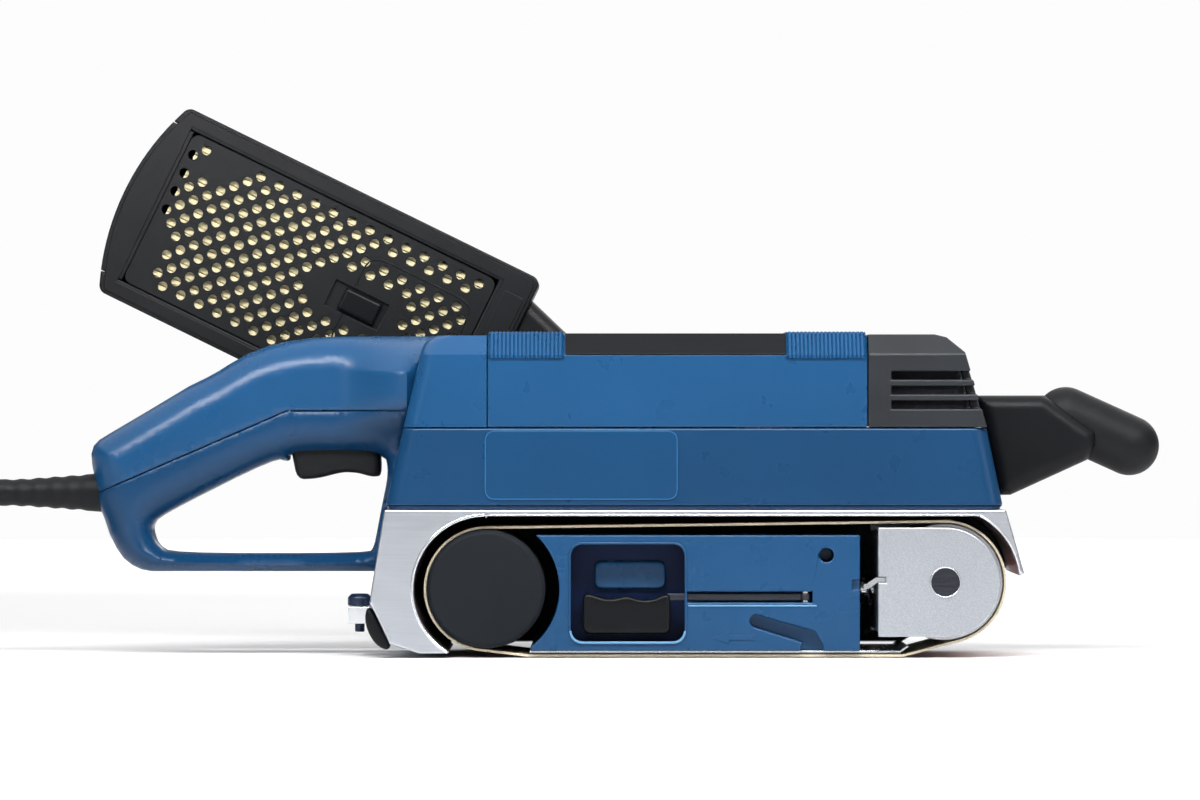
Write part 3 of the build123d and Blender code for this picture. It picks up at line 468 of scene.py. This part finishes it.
def stitched(near_points, far_points, faces):
    """A closed solid between two copies of the same triangles."""
    work = bmesh.new()
    near = [work.verts.new(p) for p in near_points]
    far = [work.verts.new(p) for p in far_points]
    rim = {}
    for f in faces:
        work.faces.new([near[k] for k in f])
        work.faces.new([far[k] for k in reversed(f)])
        for k in range(3):
            edge = (f[k], f[(k + 1) % 3])
            rim[frozenset(edge)] = None if frozenset(edge) in rim else edge
    for edge in rim.values():
        if edge:
            a, b = edge
            work.faces.new([near[b], near[a], far[a], far[b]])
    return work


def slab(name, region, finish, half, radius, border=None, middle=0.0, step=2.0, grid=3.0, seam=0.4, rings=6,
         swell=None, **where):
    """A flat-sided solid whose faces roll off within a radius of the border's loops, and have a small
    chamfer at the region's other edges. Loops are (X, Z) in millimetres."""
    region = [even(loop, step) for loop in region]
    border = [even(loop, step) for loop in border] if border else region
    extra = []
    depths = [radius * (1 - math.cos(a)) for a in np.linspace(0, math.pi / 2, rings + 1)[1:]]
    for loop in border:
        for depth in depths:
            for sign in (-1, 1):
                ring = loop + sign * side_normals(loop) * depth
                extra.append(ring[gap(ring, border) > depth * 0.97])
    if border is not region:
        for loop in region:
            for sign in (-1, 1):
                ring = loop + sign * side_normals(loop) * seam
                extra.append(ring[gap(ring, region) > seam * 0.97])
    low, high = region[0].min(0), region[0].max(0)
    xs, zs = np.meshgrid(np.arange(low[0], high[0], grid), np.arange(low[1], high[1], grid))
    extra.append(np.stack([xs.ravel(), zs.ravel()], 1))
    extra = np.concatenate(extra)
    extra = extra[inside(extra, region)]
    extra = extra[gap(extra, region) > min(seam * 0.9, depths[0] * 0.9)]
    flat, faces = filled(region, extra)
    out = gap(flat, border)
    roll = radius - np.sqrt(np.maximum(0, radius ** 2 - (radius - np.minimum(out, radius)) ** 2))
    away = half - roll
    if swell:
        away = away + np.array([swell(x, z) for x, z in flat]) * np.minimum(1, out / max(radius, 1e-6))
    if border is not region:
        away -= np.where(out > seam, np.maximum(0, seam - gap(flat, region)), 0)
    away = np.maximum(away, 0.0)
    work = stitched([(x * MM, (middle - y) * MM, z * MM) for (x, z), y in zip(flat, away)],
                    [(x * MM, (middle + y) * MM, z * MM) for (x, z), y in zip(flat, away)], faces)
    bmesh.ops.remove_doubles(work, verts=work.verts, dist=0.000005)
    return link(name, finished(work, name), finish, **where)


# ---------------------------------------------------------------- housings

knob_low, knob_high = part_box("tracking_knob")
knob_root = Vector(((knob_low.x + knob_high.x) / 2, knob_low.y, (knob_low.z + knob_high.z) / 2))
guard = eased("chassis", alloy, slot="cast_alloy", width=0.9, segments=3, bare_of=knob_root)
# The inside face of the far wall gets the dark metal: painted shade
WALL_INSIDE = (0.030, 0.044)
second_finish(guard, wall_painted_shade,
              lambda at, facing: abs(facing.y) > 0.9 and WALL_INSIDE[0] < at.y < WALL_INSIDE[1])


def plate(name, region, y_near, y_far, finish, place=lambda u, v, y: (u, y, v), ease=0.0, **where):
    """A flat plate with holes. Its loops are in millimetres in a plane square to Y."""
    flat, faces = filled([np.array(loop, float) for loop in region], ())
    work = stitched([Vector(place(u, v, y_near)) * MM for u, v in flat],
                    [Vector(place(u, v, y_far)) * MM for u, v in flat], faces)
    piece = link(name, finished(work, name), finish, **where)
    if ease:
        rounding = piece.modifiers.new("edges", "BEVEL")
        rounding.width = ease * MM
        rounding.segments = 2
        rounding.angle_limit = math.radians(40)
        rounding.use_clamp_overlap = False
    return piece


def arc(centre, radius, start, end, count=40):
    """Points of an arc in the side view, angles in degrees."""
    return [(centre[0] + radius * math.cos(math.radians(a)), centre[1] + radius * math.sin(math.radians(a)))
            for a in np.linspace(start, end, count)]


def rounded(u0, v0, u1, v1, r, count=6):
    """A rectangle with round corners."""
    corners = (((u1 - r, v1 - r), 0), ((u0 + r, v1 - r), 90), ((u0 + r, v0 + r), 180),
               ((u1 - r, v0 + r), 270))
    return [p for centre, turn in corners for p in arc(centre, r, turn, turn + 90, count)]


drum_at, roller_at = (-94.3, 27.9), (93.9, 30.75)
plate("drum_rim", [arc(drum_at, 29.8, 91, 238) + arc(drum_at, 31.0, 238, 91)], -43.35, -42.6, bright,
      ease=0.3, slot="cast_alloy")
plate("nose_rim", [arc(roller_at, 30.3, 63, 7, 24) + arc(roller_at, 31.2, 7, 62, 24)], -43.3, -42.6, bright,
      ease=0.3, slot="cast_alloy")
plate("deck_rim", [[(-92, 57.9), (106, 57.9), (106, 58.6), (-92, 58.6)]], -43.3, -42.6, bright, ease=0.2,
      slot="cast_alloy")
# The lower housing wears the darker blue copy: painted shade on the lower body
eased("lower_housing", blue_with_painted_shade, slot="blue_housing", width=0.9, segments=3)
eased("motor_cover", blue, slot="blue_housing", width=0.8, segments=3)
eased("top_inlay", ribbed_black, slot="black_plastic", width=0.3)
eased("label_plate", foil, slot="label", width=0.15)
eased("vent_cap", vent_black, slot="black_plastic", width=0.7, segments=3)

# Rear D handle: its two shells meet at a seam, and share one rounded outline
hole = [(-141.4, 44.4), (-144, 41.7), (-225.5, 41.7), (-231.5, 45.5), (-233.6, 52.8), (-230.5, 57.3),
        (-182.6, 81.3), (-176.4, 79.6), (-176.4, 83.6), (-137, 83.6), (-135.4, 75.2), (-138.5, 60)]
rounded_heel = [(-257.3, 71.8), (-256.4, 66.3), (-255.4, 61), (-253.4, 56.2), (-251.2, 49.5), (-248.4, 43.9),
                (-245.4, 39.6), (-241.7, 36.7), (-238, 35), (-233.9, 34.2)]
rounded_back = [(-112, 131.8), (-140, 131.9), (-152.5, 131.8), (-161, 131.6), (-168.1, 131.1),
                (-177.2, 129.8), (-185.9, 127.7), (-194.2, 124.5), (-201.6, 120.3), (-206, 117.5),
                (-210.5, 115), (-218.3, 111.2), (-234.6, 101.4), (-250.7, 91.9), (-255.6, 88.9), (-258, 86.4),
                (-259, 83), (-258.6, 78)]
border_loops = [np.array([*rounded_back, *rounded_heel, (-138.6, 34.2), (-136, 60.3), (-135.7, 62),
                          (-112, 90)]),
                softened(hole, 2, 0.22)]
lower = [(-256.4, 66.3), *rounded_heel[2:], (-138.6, 34.2), (-138.2, 42), (-136, 60.3), (-135.7, 62),
         (-128.6, 93), (-127, 100.7), (-177, 100.7)]
upper = [(-256.4, 66.7), (-177, 101.1), (-118, 101.1), (-112, 131.8), *rounded_back[1:], (-257.3, 71.8)]


def flare(x, z):
    """How much wider the handle gets as it runs into the body."""
    share, low = min(1.0, max(0.0, (x + 158) / 34)), min(1.0, max(0.0, (z - 84) / 22))
    return 17 * share * share * (3 - 2 * share) * low * low * (3 - 2 * low)


HANDLE_HALF = 17.4
# The handle frame below the seam wears the darker blue copy: painted shade; the cover above keeps moulded_blue
slab("handle_frame_looks", [lower, border_loops[1]], blue_with_painted_shade, HANDLE_HALF, 13, border=border_loops,
     step=1.6, grid=3.0, swell=flare, slot="blue_housing", replaced=["handle_frame"], sharp=50)
slab("handle_cover_looks", [upper], blue, HANDLE_HALF, 15, border=border_loops, step=1.6, grid=3.0,
     swell=flare, slot="blue_housing", sharp=50)


def block_ring(z):
    """Plan outline of the rear body block at height z: rounded rear corners, bevelled long top edges."""
    cut = max(0.0, z - 124) * 1.02
    back_in = 6 * (1 - math.sqrt(max(0.0, 1 - (max(0.0, z - 126) / 6) ** 2)))
    rear = -135.7 + 0.2314 * (z - 62) + back_in
    near, far, r = -43 + cut, 46 - cut, 7.0
    points = [(-94.05, near)]
    for k in range(9):
        a = math.pi / 2 * k / 8
        points.append((rear + r - r * math.sin(a), near + r - r * math.cos(a)))
    for k in range(9):
        a = math.pi / 2 * k / 8
        points.append((rear + r - r * math.cos(a), far - r + r * math.sin(a)))
    points.append((-94.05, far))
    return [(x * MM, y * MM, z * MM) for x, y in points]


skin("rear_block", [block_ring(z) for z in (94.3, 95, 110, 123.4, 124, 125.5, 127, 128.5, 130, 131.2, 131.9)],
     blue, slot="blue_housing", replaced=["handle_cover"], sharp=30)

# Fine ribs of the finger pads, over the top and its bevels
for name, start, end in (("rear_pad", -93.6, -62.2), ("front_pad", 28.6, 61.6)):
    count = int((end - start) / 1.65) * 4
    rings = []
    for k in range(count + 1):
        high = 0.75 + 0.75 * (1, 0.75, -0.2, 0.75)[k % 4]
        if k in (0, count):
            high = 0.1
        x = start + (end - start) * k / count
        section = [(-43.1 - high * 0.7, 122.6), (-43.1 - high * 0.7, 123.8),
                   (-34.9 - high * 0.4, 132.1 + high), (37.9 + high * 0.4, 132.1 + high),
                   (46.1 + high * 0.7, 123.8), (46.1 + high * 0.7, 122.6), (44, 123), (37, 130.6),
                   (-34, 130.6), (-41, 123)]
        rings.append([(x * MM, y * MM, z * MM) for y, z in section])
    skin(name, rings, blue, slot="blue_housing", sharp=12)

# Foam behind the intake slots
slab("intake_foam", [[(64, 98), (104, 98), (98.5, 124), (64, 124)]], foam_look, 36, 2, middle=1.5, step=4,
     grid=8, slot="black_plastic")

# ---------------------------------------------------------------- trigger and front handle

slab("trigger_looks", [softened([(-138.9, 88), (-175.8, 88), (-175.6, 83.8), (-173.3, 72.4), (-164.8, 72.8),
                                 (-154.4, 75.5), (-148.3, 75.2), (-142.2, 73.5), (-138.4, 73.9)], 2, 0.2)],
     soft_black, 9.2, 3.0, step=1.0, grid=2.0, body="trigger", slot="black_plastic", replaced=["trigger"])
slab("front_arm_looks", [[(116.9, 66), (122.5, 66.1), (154.3, 80.6), (157.4, 86), (158, 92), (136.4, 107.3),
                          (107.8, 107.3), (111.2, 94.2)]],
     black, 16, 6, step=1.6, grid=2.6, slot="soft_grip", replaced=["front_handle_arm"])
eased("front_grip", soft_black, slot="soft_grip", width=0.3)

# ---------------------------------------------------------------- running gear

belt = eased("sanding_belt", grit, slot="abrasive", width=0.1, segments=1)


def belt_back(at, facing):
    """Whether a face of the belt is one of its edges or its cloth side."""
    middle = Vector((min(max(at.x, -0.0943), 0.0939), at.y, 0.0293))
    return abs(facing.y) > 0.7 or (at - middle).dot(facing) < 0


second_finish(belt, cloth, belt_back)
eased("sole_pad", pad_look, slot="cork", width=0.1, segments=1)
eased("sole_plate", steel, slot="steel", width=0.2)
platen = eased("platen_frame", blue, slot="blue_housing", width=0.6, segments=3)
recess_low, recess_high = (-0.0612, -0.0385, 0.004), (-0.0113, -0.02, 0.048)


def in_recess(at, facing):
    """Whether a face of the platen frame lies in the finger recess."""
    return all(low < part < high for low, part, high in zip(recess_low, at, recess_high))


# The faces in the finger recess get the darker navy: painted shade
second_finish(platen, recess_shade_paint, in_recess)
eased("lever_strip", dark_steel, "lever", "steel", width=0.25)
grip_edge = [(-54.7, 12), (-54.7, 23.5), (-54, 25.6), (-52.4, 26.1), (-49, 25.1), (-45.6, 24.1), (-42, 24),
             (-39.4, 24.6), (-37.4, 25.1), (-35.2, 24.8), (-32, 23.8), (-28.6, 23.5), (-25, 24.1),
             (-22, 25.4), (-20.3, 26.0), (-18.9, 25), (-18.7, 22), (-18.7, 11.6), (-19.5, 9.9), (-21.2, 9.3),
             (-51.8, 9.3), (-53.8, 10.1)]
slab("lever_grip_looks", [grip_edge], ribbed_black, 5, 1.6, middle=-34.5, step=0.8, grid=2.0, rings=4,
     body="lever", slot="black_plastic", replaced=["lever_grip"])
slab("recess_block", [rounded(-50, 27.5, -20.5, 39.2, 3)], blue, 1.5, 1.2, middle=-27.3, step=1, grid=2,
     rings=4, slot="blue_housing")
plate("recess_rim", [rounded(-60.6, 5.1, -11.9, 47.2, 5.6), rounded(-59.6, 6.1, -12.9, 46.2, 4.7)], -40.45,
      -39.7, blue, ease=0.35, slot="blue_housing")
# Lower lips of the recess and the slot in the light blue: painted highlight
lip = [[point for point in rounded(*bounds) if point[1] < 11] for bounds in
       ((-60.2, 5.5, -12.3, 46.8, 5.2), (-59.3, 6.4, -13.2, 45.9, 4.4))]
plate("recess_lip", [sorted(map(tuple, lip[0])) + sorted(map(tuple, lip[1]), reverse=True)], -40.9, -39.9,
      lip_painted_highlight, ease=0.2, slot="blue_housing")
plate("slot_lip", [[(-11.4, 21.4), (41.2, 21.4), (41.2, 20.7), (-11.4, 20.7)]], -40.4, -39.9, lip_painted_highlight,
      ease=0.15, slot="blue_housing")
plate("direction_arrow", [[(-1.6, 8), (5.2, 10.7), (5.2, 9), (15.6, 9), (15.6, 7), (5.2, 7), (5.2, 5.3)]],
      -40.35, -39.9, blue, ease=0.15, slot="blue_housing")
eased("tension_yoke", cheek_look, "yoke", "steel", width=0.4)
eased("roller_axle", dark_steel, "yoke", "steel", width=0.5)
eased("push_rod", steel, "yoke", "steel", width=0.3)
plate("axle_ring", [arc(roller_at, 6.4, 0, 352.5, 48), arc(roller_at, 5.8, 0, 352.5, 48)], -43.1, -42.4,
      steel, body="yoke", ease=0.2, slot="steel")
plate("axle_centre", [arc(roller_at, 1.7, 0, 345, 24), arc(roller_at, 0.8, 0, 345, 24)], -42.85, -42.5,
      dark_steel, body="yoke", slot="steel")
eased("front_roller", drum_alloy, "idler", "drum_aluminium", width=0.6)
eased("drum_core", drum_alloy, "drum", "drum_aluminium", width=0.3)
eased("drum_lagging", lagging_look, "drum", "drum_rubber", width=0.4)
eased("drum_cap", cap_look, "drum", "drum_rubber", width=0.5, segments=3)
eased("drive_cover", black, slot="black_plastic", width=1.2, segments=3)
eased("cover_screws", steel, slot="steel", width=0.2)
eased("clamp_bracket", chrome, slot="chrome", width=0.3)
slab("clamp_shield", [softened([(-142.4, 21.5), (-144.2, 17), (-143, 10.5), (-139.4, 4.8), (-134.6, 2.6),
                                (-133.4, 5.2), (-137.9, 13.8)], 2)], black, 9, 2.0, middle=-33, step=0.8,
     grid=2, rings=4, slot="black_plastic")
eased("clamp_knob", knob_look, "clamp_knob", "knob_blue", width=0.5, segments=3)
eased("tracking_knob", black, "tracking_knob", "black_plastic", width=0.4)
eased("dust_case", box_black, "dust_box", "black_plastic", width=0.7, segments=3)
TILT, BOX_X, BOX_Z = math.radians(26.1), -166.6, 154.1


def on_box(u, v, y):
    """A point given along the dust box's long axis, across it and in depth."""
    return (BOX_X + u * math.cos(TILT) + v * math.sin(TILT), y,
            BOX_Z - u * math.sin(TILT) + v * math.cos(TILT))


def along_box(p):
    """How far along the dust box's long axis a point lies, in millimetres."""
    return (p.x / MM - BOX_X) * math.cos(TILT) - (p.z / MM - BOX_Z) * math.sin(TILT)


def box_loop(inset, count=30):
    """Outline of the dust box with its bulged rear end, drawn in on every side."""
    end, side, bulge = 83.5 - inset, 43.5 - inset, 9.0
    r = (side ** 2 + bulge ** 2) / (2 * bulge)
    reach = math.degrees(math.asin(side / r))
    rear = arc((-end - bulge + r, 0), r, 180 - reach, 180 + reach, count)
    return [(end - 4, side), *rear, (end - 4, -side), *arc((end - 4, -side + 4), 4, -90, 0, 5)[1:],
            *arc((end - 4, side - 4), 4, 0, 90, 5)[:-1]]


def bare(u, v):
    """Whether the panel has no hole there."""
    if abs(u) > 74 or abs(v) > 31.5 or (v < -1 and u < -70) or (v < -6 and u < -66):
        return True
    if (-70 < u < -53 and 20 < v < 28) or (-66 < u < -49 and v > 28):
        return True
    if -3 < u < 37 and abs(v) < 10.8:
        return True
    if -7 < u < 0 and abs(v) < 6:
        return True
    return (12 < u < 63 and 19.5 < abs(v) < 23.5) or u > 62


holes = []
for row in range(16):
    for column in range(17):
        u, v = -73.1 + 8.6 * column + 4.3 * (row % 2), -34.1 + 4.3 * row
        if not bare(u, v):
            holes.append(arc((u, v), 2.07, 360, 22.5, 16))
panel_place = {"place": on_box, "body": "filter_cassette"}
plate("filter_panel_looks", [rounded(-77, -35, 67, 35, 4), [(5, -6.6), (30, -6.6), (30, 5.4), (5, 5.4)],
                             *holes],
      62.5, 63.9, box_black, ease=0.22, slot="black_plastic", **panel_place)
plug_end = eased("filter_panel", box_black, "filter_cassette", "black_plastic", width=0.3)
work = bmesh.new()
work.from_mesh(plug_end.data)
bmesh.ops.delete(work, geom=[f for f in work.faces if along_box(f.calc_center_median()) > -77.3],
                 context="FACES")
work.to_mesh(plug_end.data)
work.free()
plate("panel_backing", [[(4, -7.4), (32, -7.4), (32, 6.2), (4, 6.2)]], 64.2, 64.9, box_black,
      slot="black_plastic", **panel_place)
pleat_lines = []
for k in range(-13, 13):
    v = k * 2.45
    pleat_lines += [(v, 65.4), (v + 1.95, 65.3), (v + 2.2, 69.5)]
pleat_lines.append((32.0, 65.4))
pleat_rings = [[on_box(u, v, y) for v, y in [(-31.8, 83), *pleat_lines, (32, 83)]] for u in (-72.8, 62.8)]
skin("filter_pleats", [[Vector(p) * MM for p in ring] for ring in pleat_rings], paper, "filter_cassette",
     "filter_paper", ["filter_element"], sharp=20)
plate("case_trim", [box_loop(1.6), [(-78.5, -36.6), (-78.5, 36.6), (69, 36.6), (69, -36.6)]], 60.9, 61.6,
      box_black, place=on_box, body="dust_box", ease=0.35, slot="black_plastic")


def bead(name, points, thick, finish, body):
    """A thin raised line that follows points."""
    line = nurbs(name, [Vector(p) * MM for p in points], thick * MM, 2)
    line.data.materials.append(finish.material)
    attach(line, body)


for side in (-1, 1):
    path = [(13.5, 6.5 * side), (13.5, 12 * side), (13.5, 16 * side), (15, 20 * side), (20, 21.5 * side),
            (28, 21.5 * side), (48, 21.5 * side), (56, 21.5 * side), (61, 20 * side), (62.5, 15 * side),
            (62.5, 0)]
    bead("panel_bead_" + ("low" if side < 0 else "high"), [on_box(u, v, 62.45) for u, v in path], 0.7,
         box_black, "filter_cassette")
eased("filter_latch", ribbed_black, "filter_latch", "black_plastic", width=0.6, segments=3)
eased("dust_neck", box_black, "dust_box", "black_plastic", width=0.8, segments=3, clamp=True)
eased("dust_duct", black, slot="black_plastic", width=0.8, segments=3, clamp=True)
eased("lock_button", soft_black, "lock_button", "black_plastic", width=0.5, segments=3)

# Tension spring: a wire coil over the CAD spring's length, built at that one length, though the real spring
# shortens with the yoke's travel
spring_low, spring_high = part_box("tension_spring")
spring_y, spring_z, spring_radius, wire_radius = 0.007, 0.027, 0.0061, 0.0009
spring_steps = int(8.8 * points_a_turn)
spring_points = []
for k in range(spring_steps + 1):
    a = 2 * math.pi * k / points_a_turn
    x = spring_low.x + wire_radius + (spring_high.x - spring_low.x - 2 * wire_radius) * k / spring_steps
    spring_points.append((x, spring_y + spring_radius * math.cos(a), spring_z + spring_radius * math.sin(a)))
spring_line = nurbs("spring_line", spring_points, 2 * wire_radius, 3)
spring_line.data.resolution_u = 2
bpy.context.view_layer.update()
spring_mesh = bpy.data.meshes.new_from_object(spring_line)
bpy.data.objects.remove(spring_line)
spring = link("tension_spring_looks", spring_mesh, steel, slot="steel", replaced=["tension_spring"])
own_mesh(spring)

# CAD nodes that keep their shape, most of them inside
for node, finish in (("lever_pin", steel), ("tension_link", steel),
                     ("roller_bearings", steel), ("drum_shaft", steel), ("drum_pulley", drum_alloy),
                     ("drum_bearing", steel), ("timing_belt", belt_rubber), ("stator", sheets),
                     ("armature_core", copper), ("armature_shaft", steel), ("commutator", copper),
                     ("cooling_fan", black), ("motor_pulley", steel), ("motor_bearings", steel),
                     ("brush_holders", brass), ("carbon_brushes", carbon), ("switch_body", black)):
    painted(node, finish)


def star(centre, r, points=6):
    """A six-lobed socket."""
    turn = [k * math.pi / points for k in range(2 * points)]
    reach = [r * (1 if k % 2 else 0.72) for k in range(2 * points)]
    return [(centre[0] + d * math.cos(a), centre[1] + d * math.sin(a)) for d, a in zip(reach, turn)]


# Screw heads on the far side, where the shells are joined
for k, (x, z, y) in enumerate([(-118, 72, 46), (104, 72, 46), (-84, 112, 46), (-52, 72, 46), (-229, 87, 17.2),
                               (-168, 112, 17.2), (-241, 55, 15.6)]):
    plate(f"screw_{k}", [arc((x, z), 3.2, 0, 348, 30), star((x, z), 1.5)], y - 0.6, y + 0.5, dark_steel,
          ease=0.25, slot="steel")
    plate(f"screw_floor_{k}", [arc((x, z), 2, 0, 340, 18)], y - 0.9, y - 0.5, dark_steel, slot="steel")

# Label edge, and steps in the face of the dust box
plate("label_border", [rounded(-94.8, 64.6, -15.8, 92.8, 3.8), rounded(-94.4, 65, -16.2, 92.4, 3.4)], -43.46,
      -43.3, foil_edge, slot="label")
plate("case_step", [rounded(71, -33, 80.5, 33, 1.5)], 60.7, 61.7, box_black, place=on_box, body="dust_box",
      ease=0.4, slot="black_plastic")
plate("case_tail", [[(-80, 34), (-83.6, 34), (-88.2, 16), (-89.2, 0), (-88.2, -16), (-83.6, -34),
                     (-80, -34)]],
      61.1, 61.9, box_black, place=on_box, body="filter_cassette", ease=0.3, slot="black_plastic")

# ---------------------------------------------------------------- floor and light


def ground(radius=2.0, centre_y=0.3, height=-0.0004):
    """A plain round floor."""
    mesh = bpy.data.meshes.new("floor")
    ring = [(radius * math.cos(a), centre_y + radius * math.sin(a), height)
            for a in np.linspace(0, 2 * math.pi, 65)[:-1]]
    mesh.from_pydata(ring, [], [list(range(64))])
    mesh.materials.append(floor_look.material)
    made = bpy.data.objects.new("floor", mesh)
    scene.collection.objects.link(made)


def softbox(name, place, aim, size, power, spread=180):
    """A rectangular light aimed at a point, its spread in degrees."""
    light = bpy.data.lights.new(name, "AREA")
    light.shape = "RECTANGLE"
    light.size, light.size_y = size
    light.energy = power
    light.spread = math.radians(spread)
    made = bpy.data.objects.new(name, light)
    made.location = place
    made.rotation_euler = (Vector(aim) - Vector(place)).to_track_quat("-Z", "Y").to_euler()
    scene.collection.objects.link(made)


ground()
BODY_MIDDLE = (-0.05, 0, 0.08)
softbox("strip", (-0.05, -0.27, 0.36), (-0.05, -0.04, 0.13), (0.8, 0.06), 4.0)
softbox("top", (-0.05, 0.3, 3.5), (-0.05, 0.3, 0.0), (9.0, 9.0), 275)
softbox("fill", (-1.5, -1.6, 0.5), BODY_MIDDLE, (0.8, 1.2), 2.4)
softbox("back", (0.5, 1.5, 0.7), BODY_MIDDLE, (1.2, 0.8), 6)
softbox("side", (1.5, -0.9, 0.5), BODY_MIDDLE, (0.8, 0.9), 3.5)
softbox("near_floor", (-0.05, -1.1, 0.8), (-0.05, -1.1, 0.0), (3.2, 1.0), 9.0, spread=40)
softbox("far_floor", (-0.05, 1.75, 1.0), (-0.05, 1.75, 0.0), (4.0, 1.4), 12.0, spread=35)
world = bpy.data.worlds.new("world")
world.use_nodes = True
backdrop = world.node_tree.nodes["Background"]
backdrop.inputs["Color"].default_value = (1.0, 1.0, 1.0, 1)
seen = world.node_tree.nodes.new("ShaderNodeLightPath")
level = world.node_tree.nodes.new("ShaderNodeMapRange")
level.inputs["To Min"].default_value = 0.2
level.inputs["To Max"].default_value = 0.98
world.node_tree.links.new(seen.outputs["Is Camera Ray"], level.inputs["Value"])
world.node_tree.links.new(level.outputs["Result"], backdrop.inputs["Strength"])
scene.world = world
scene.view_settings.view_transform = "Standard"


def corners(pair):
    """Plain numbers of a box."""
    return [[float(v) for v in corner] for corner in pair]
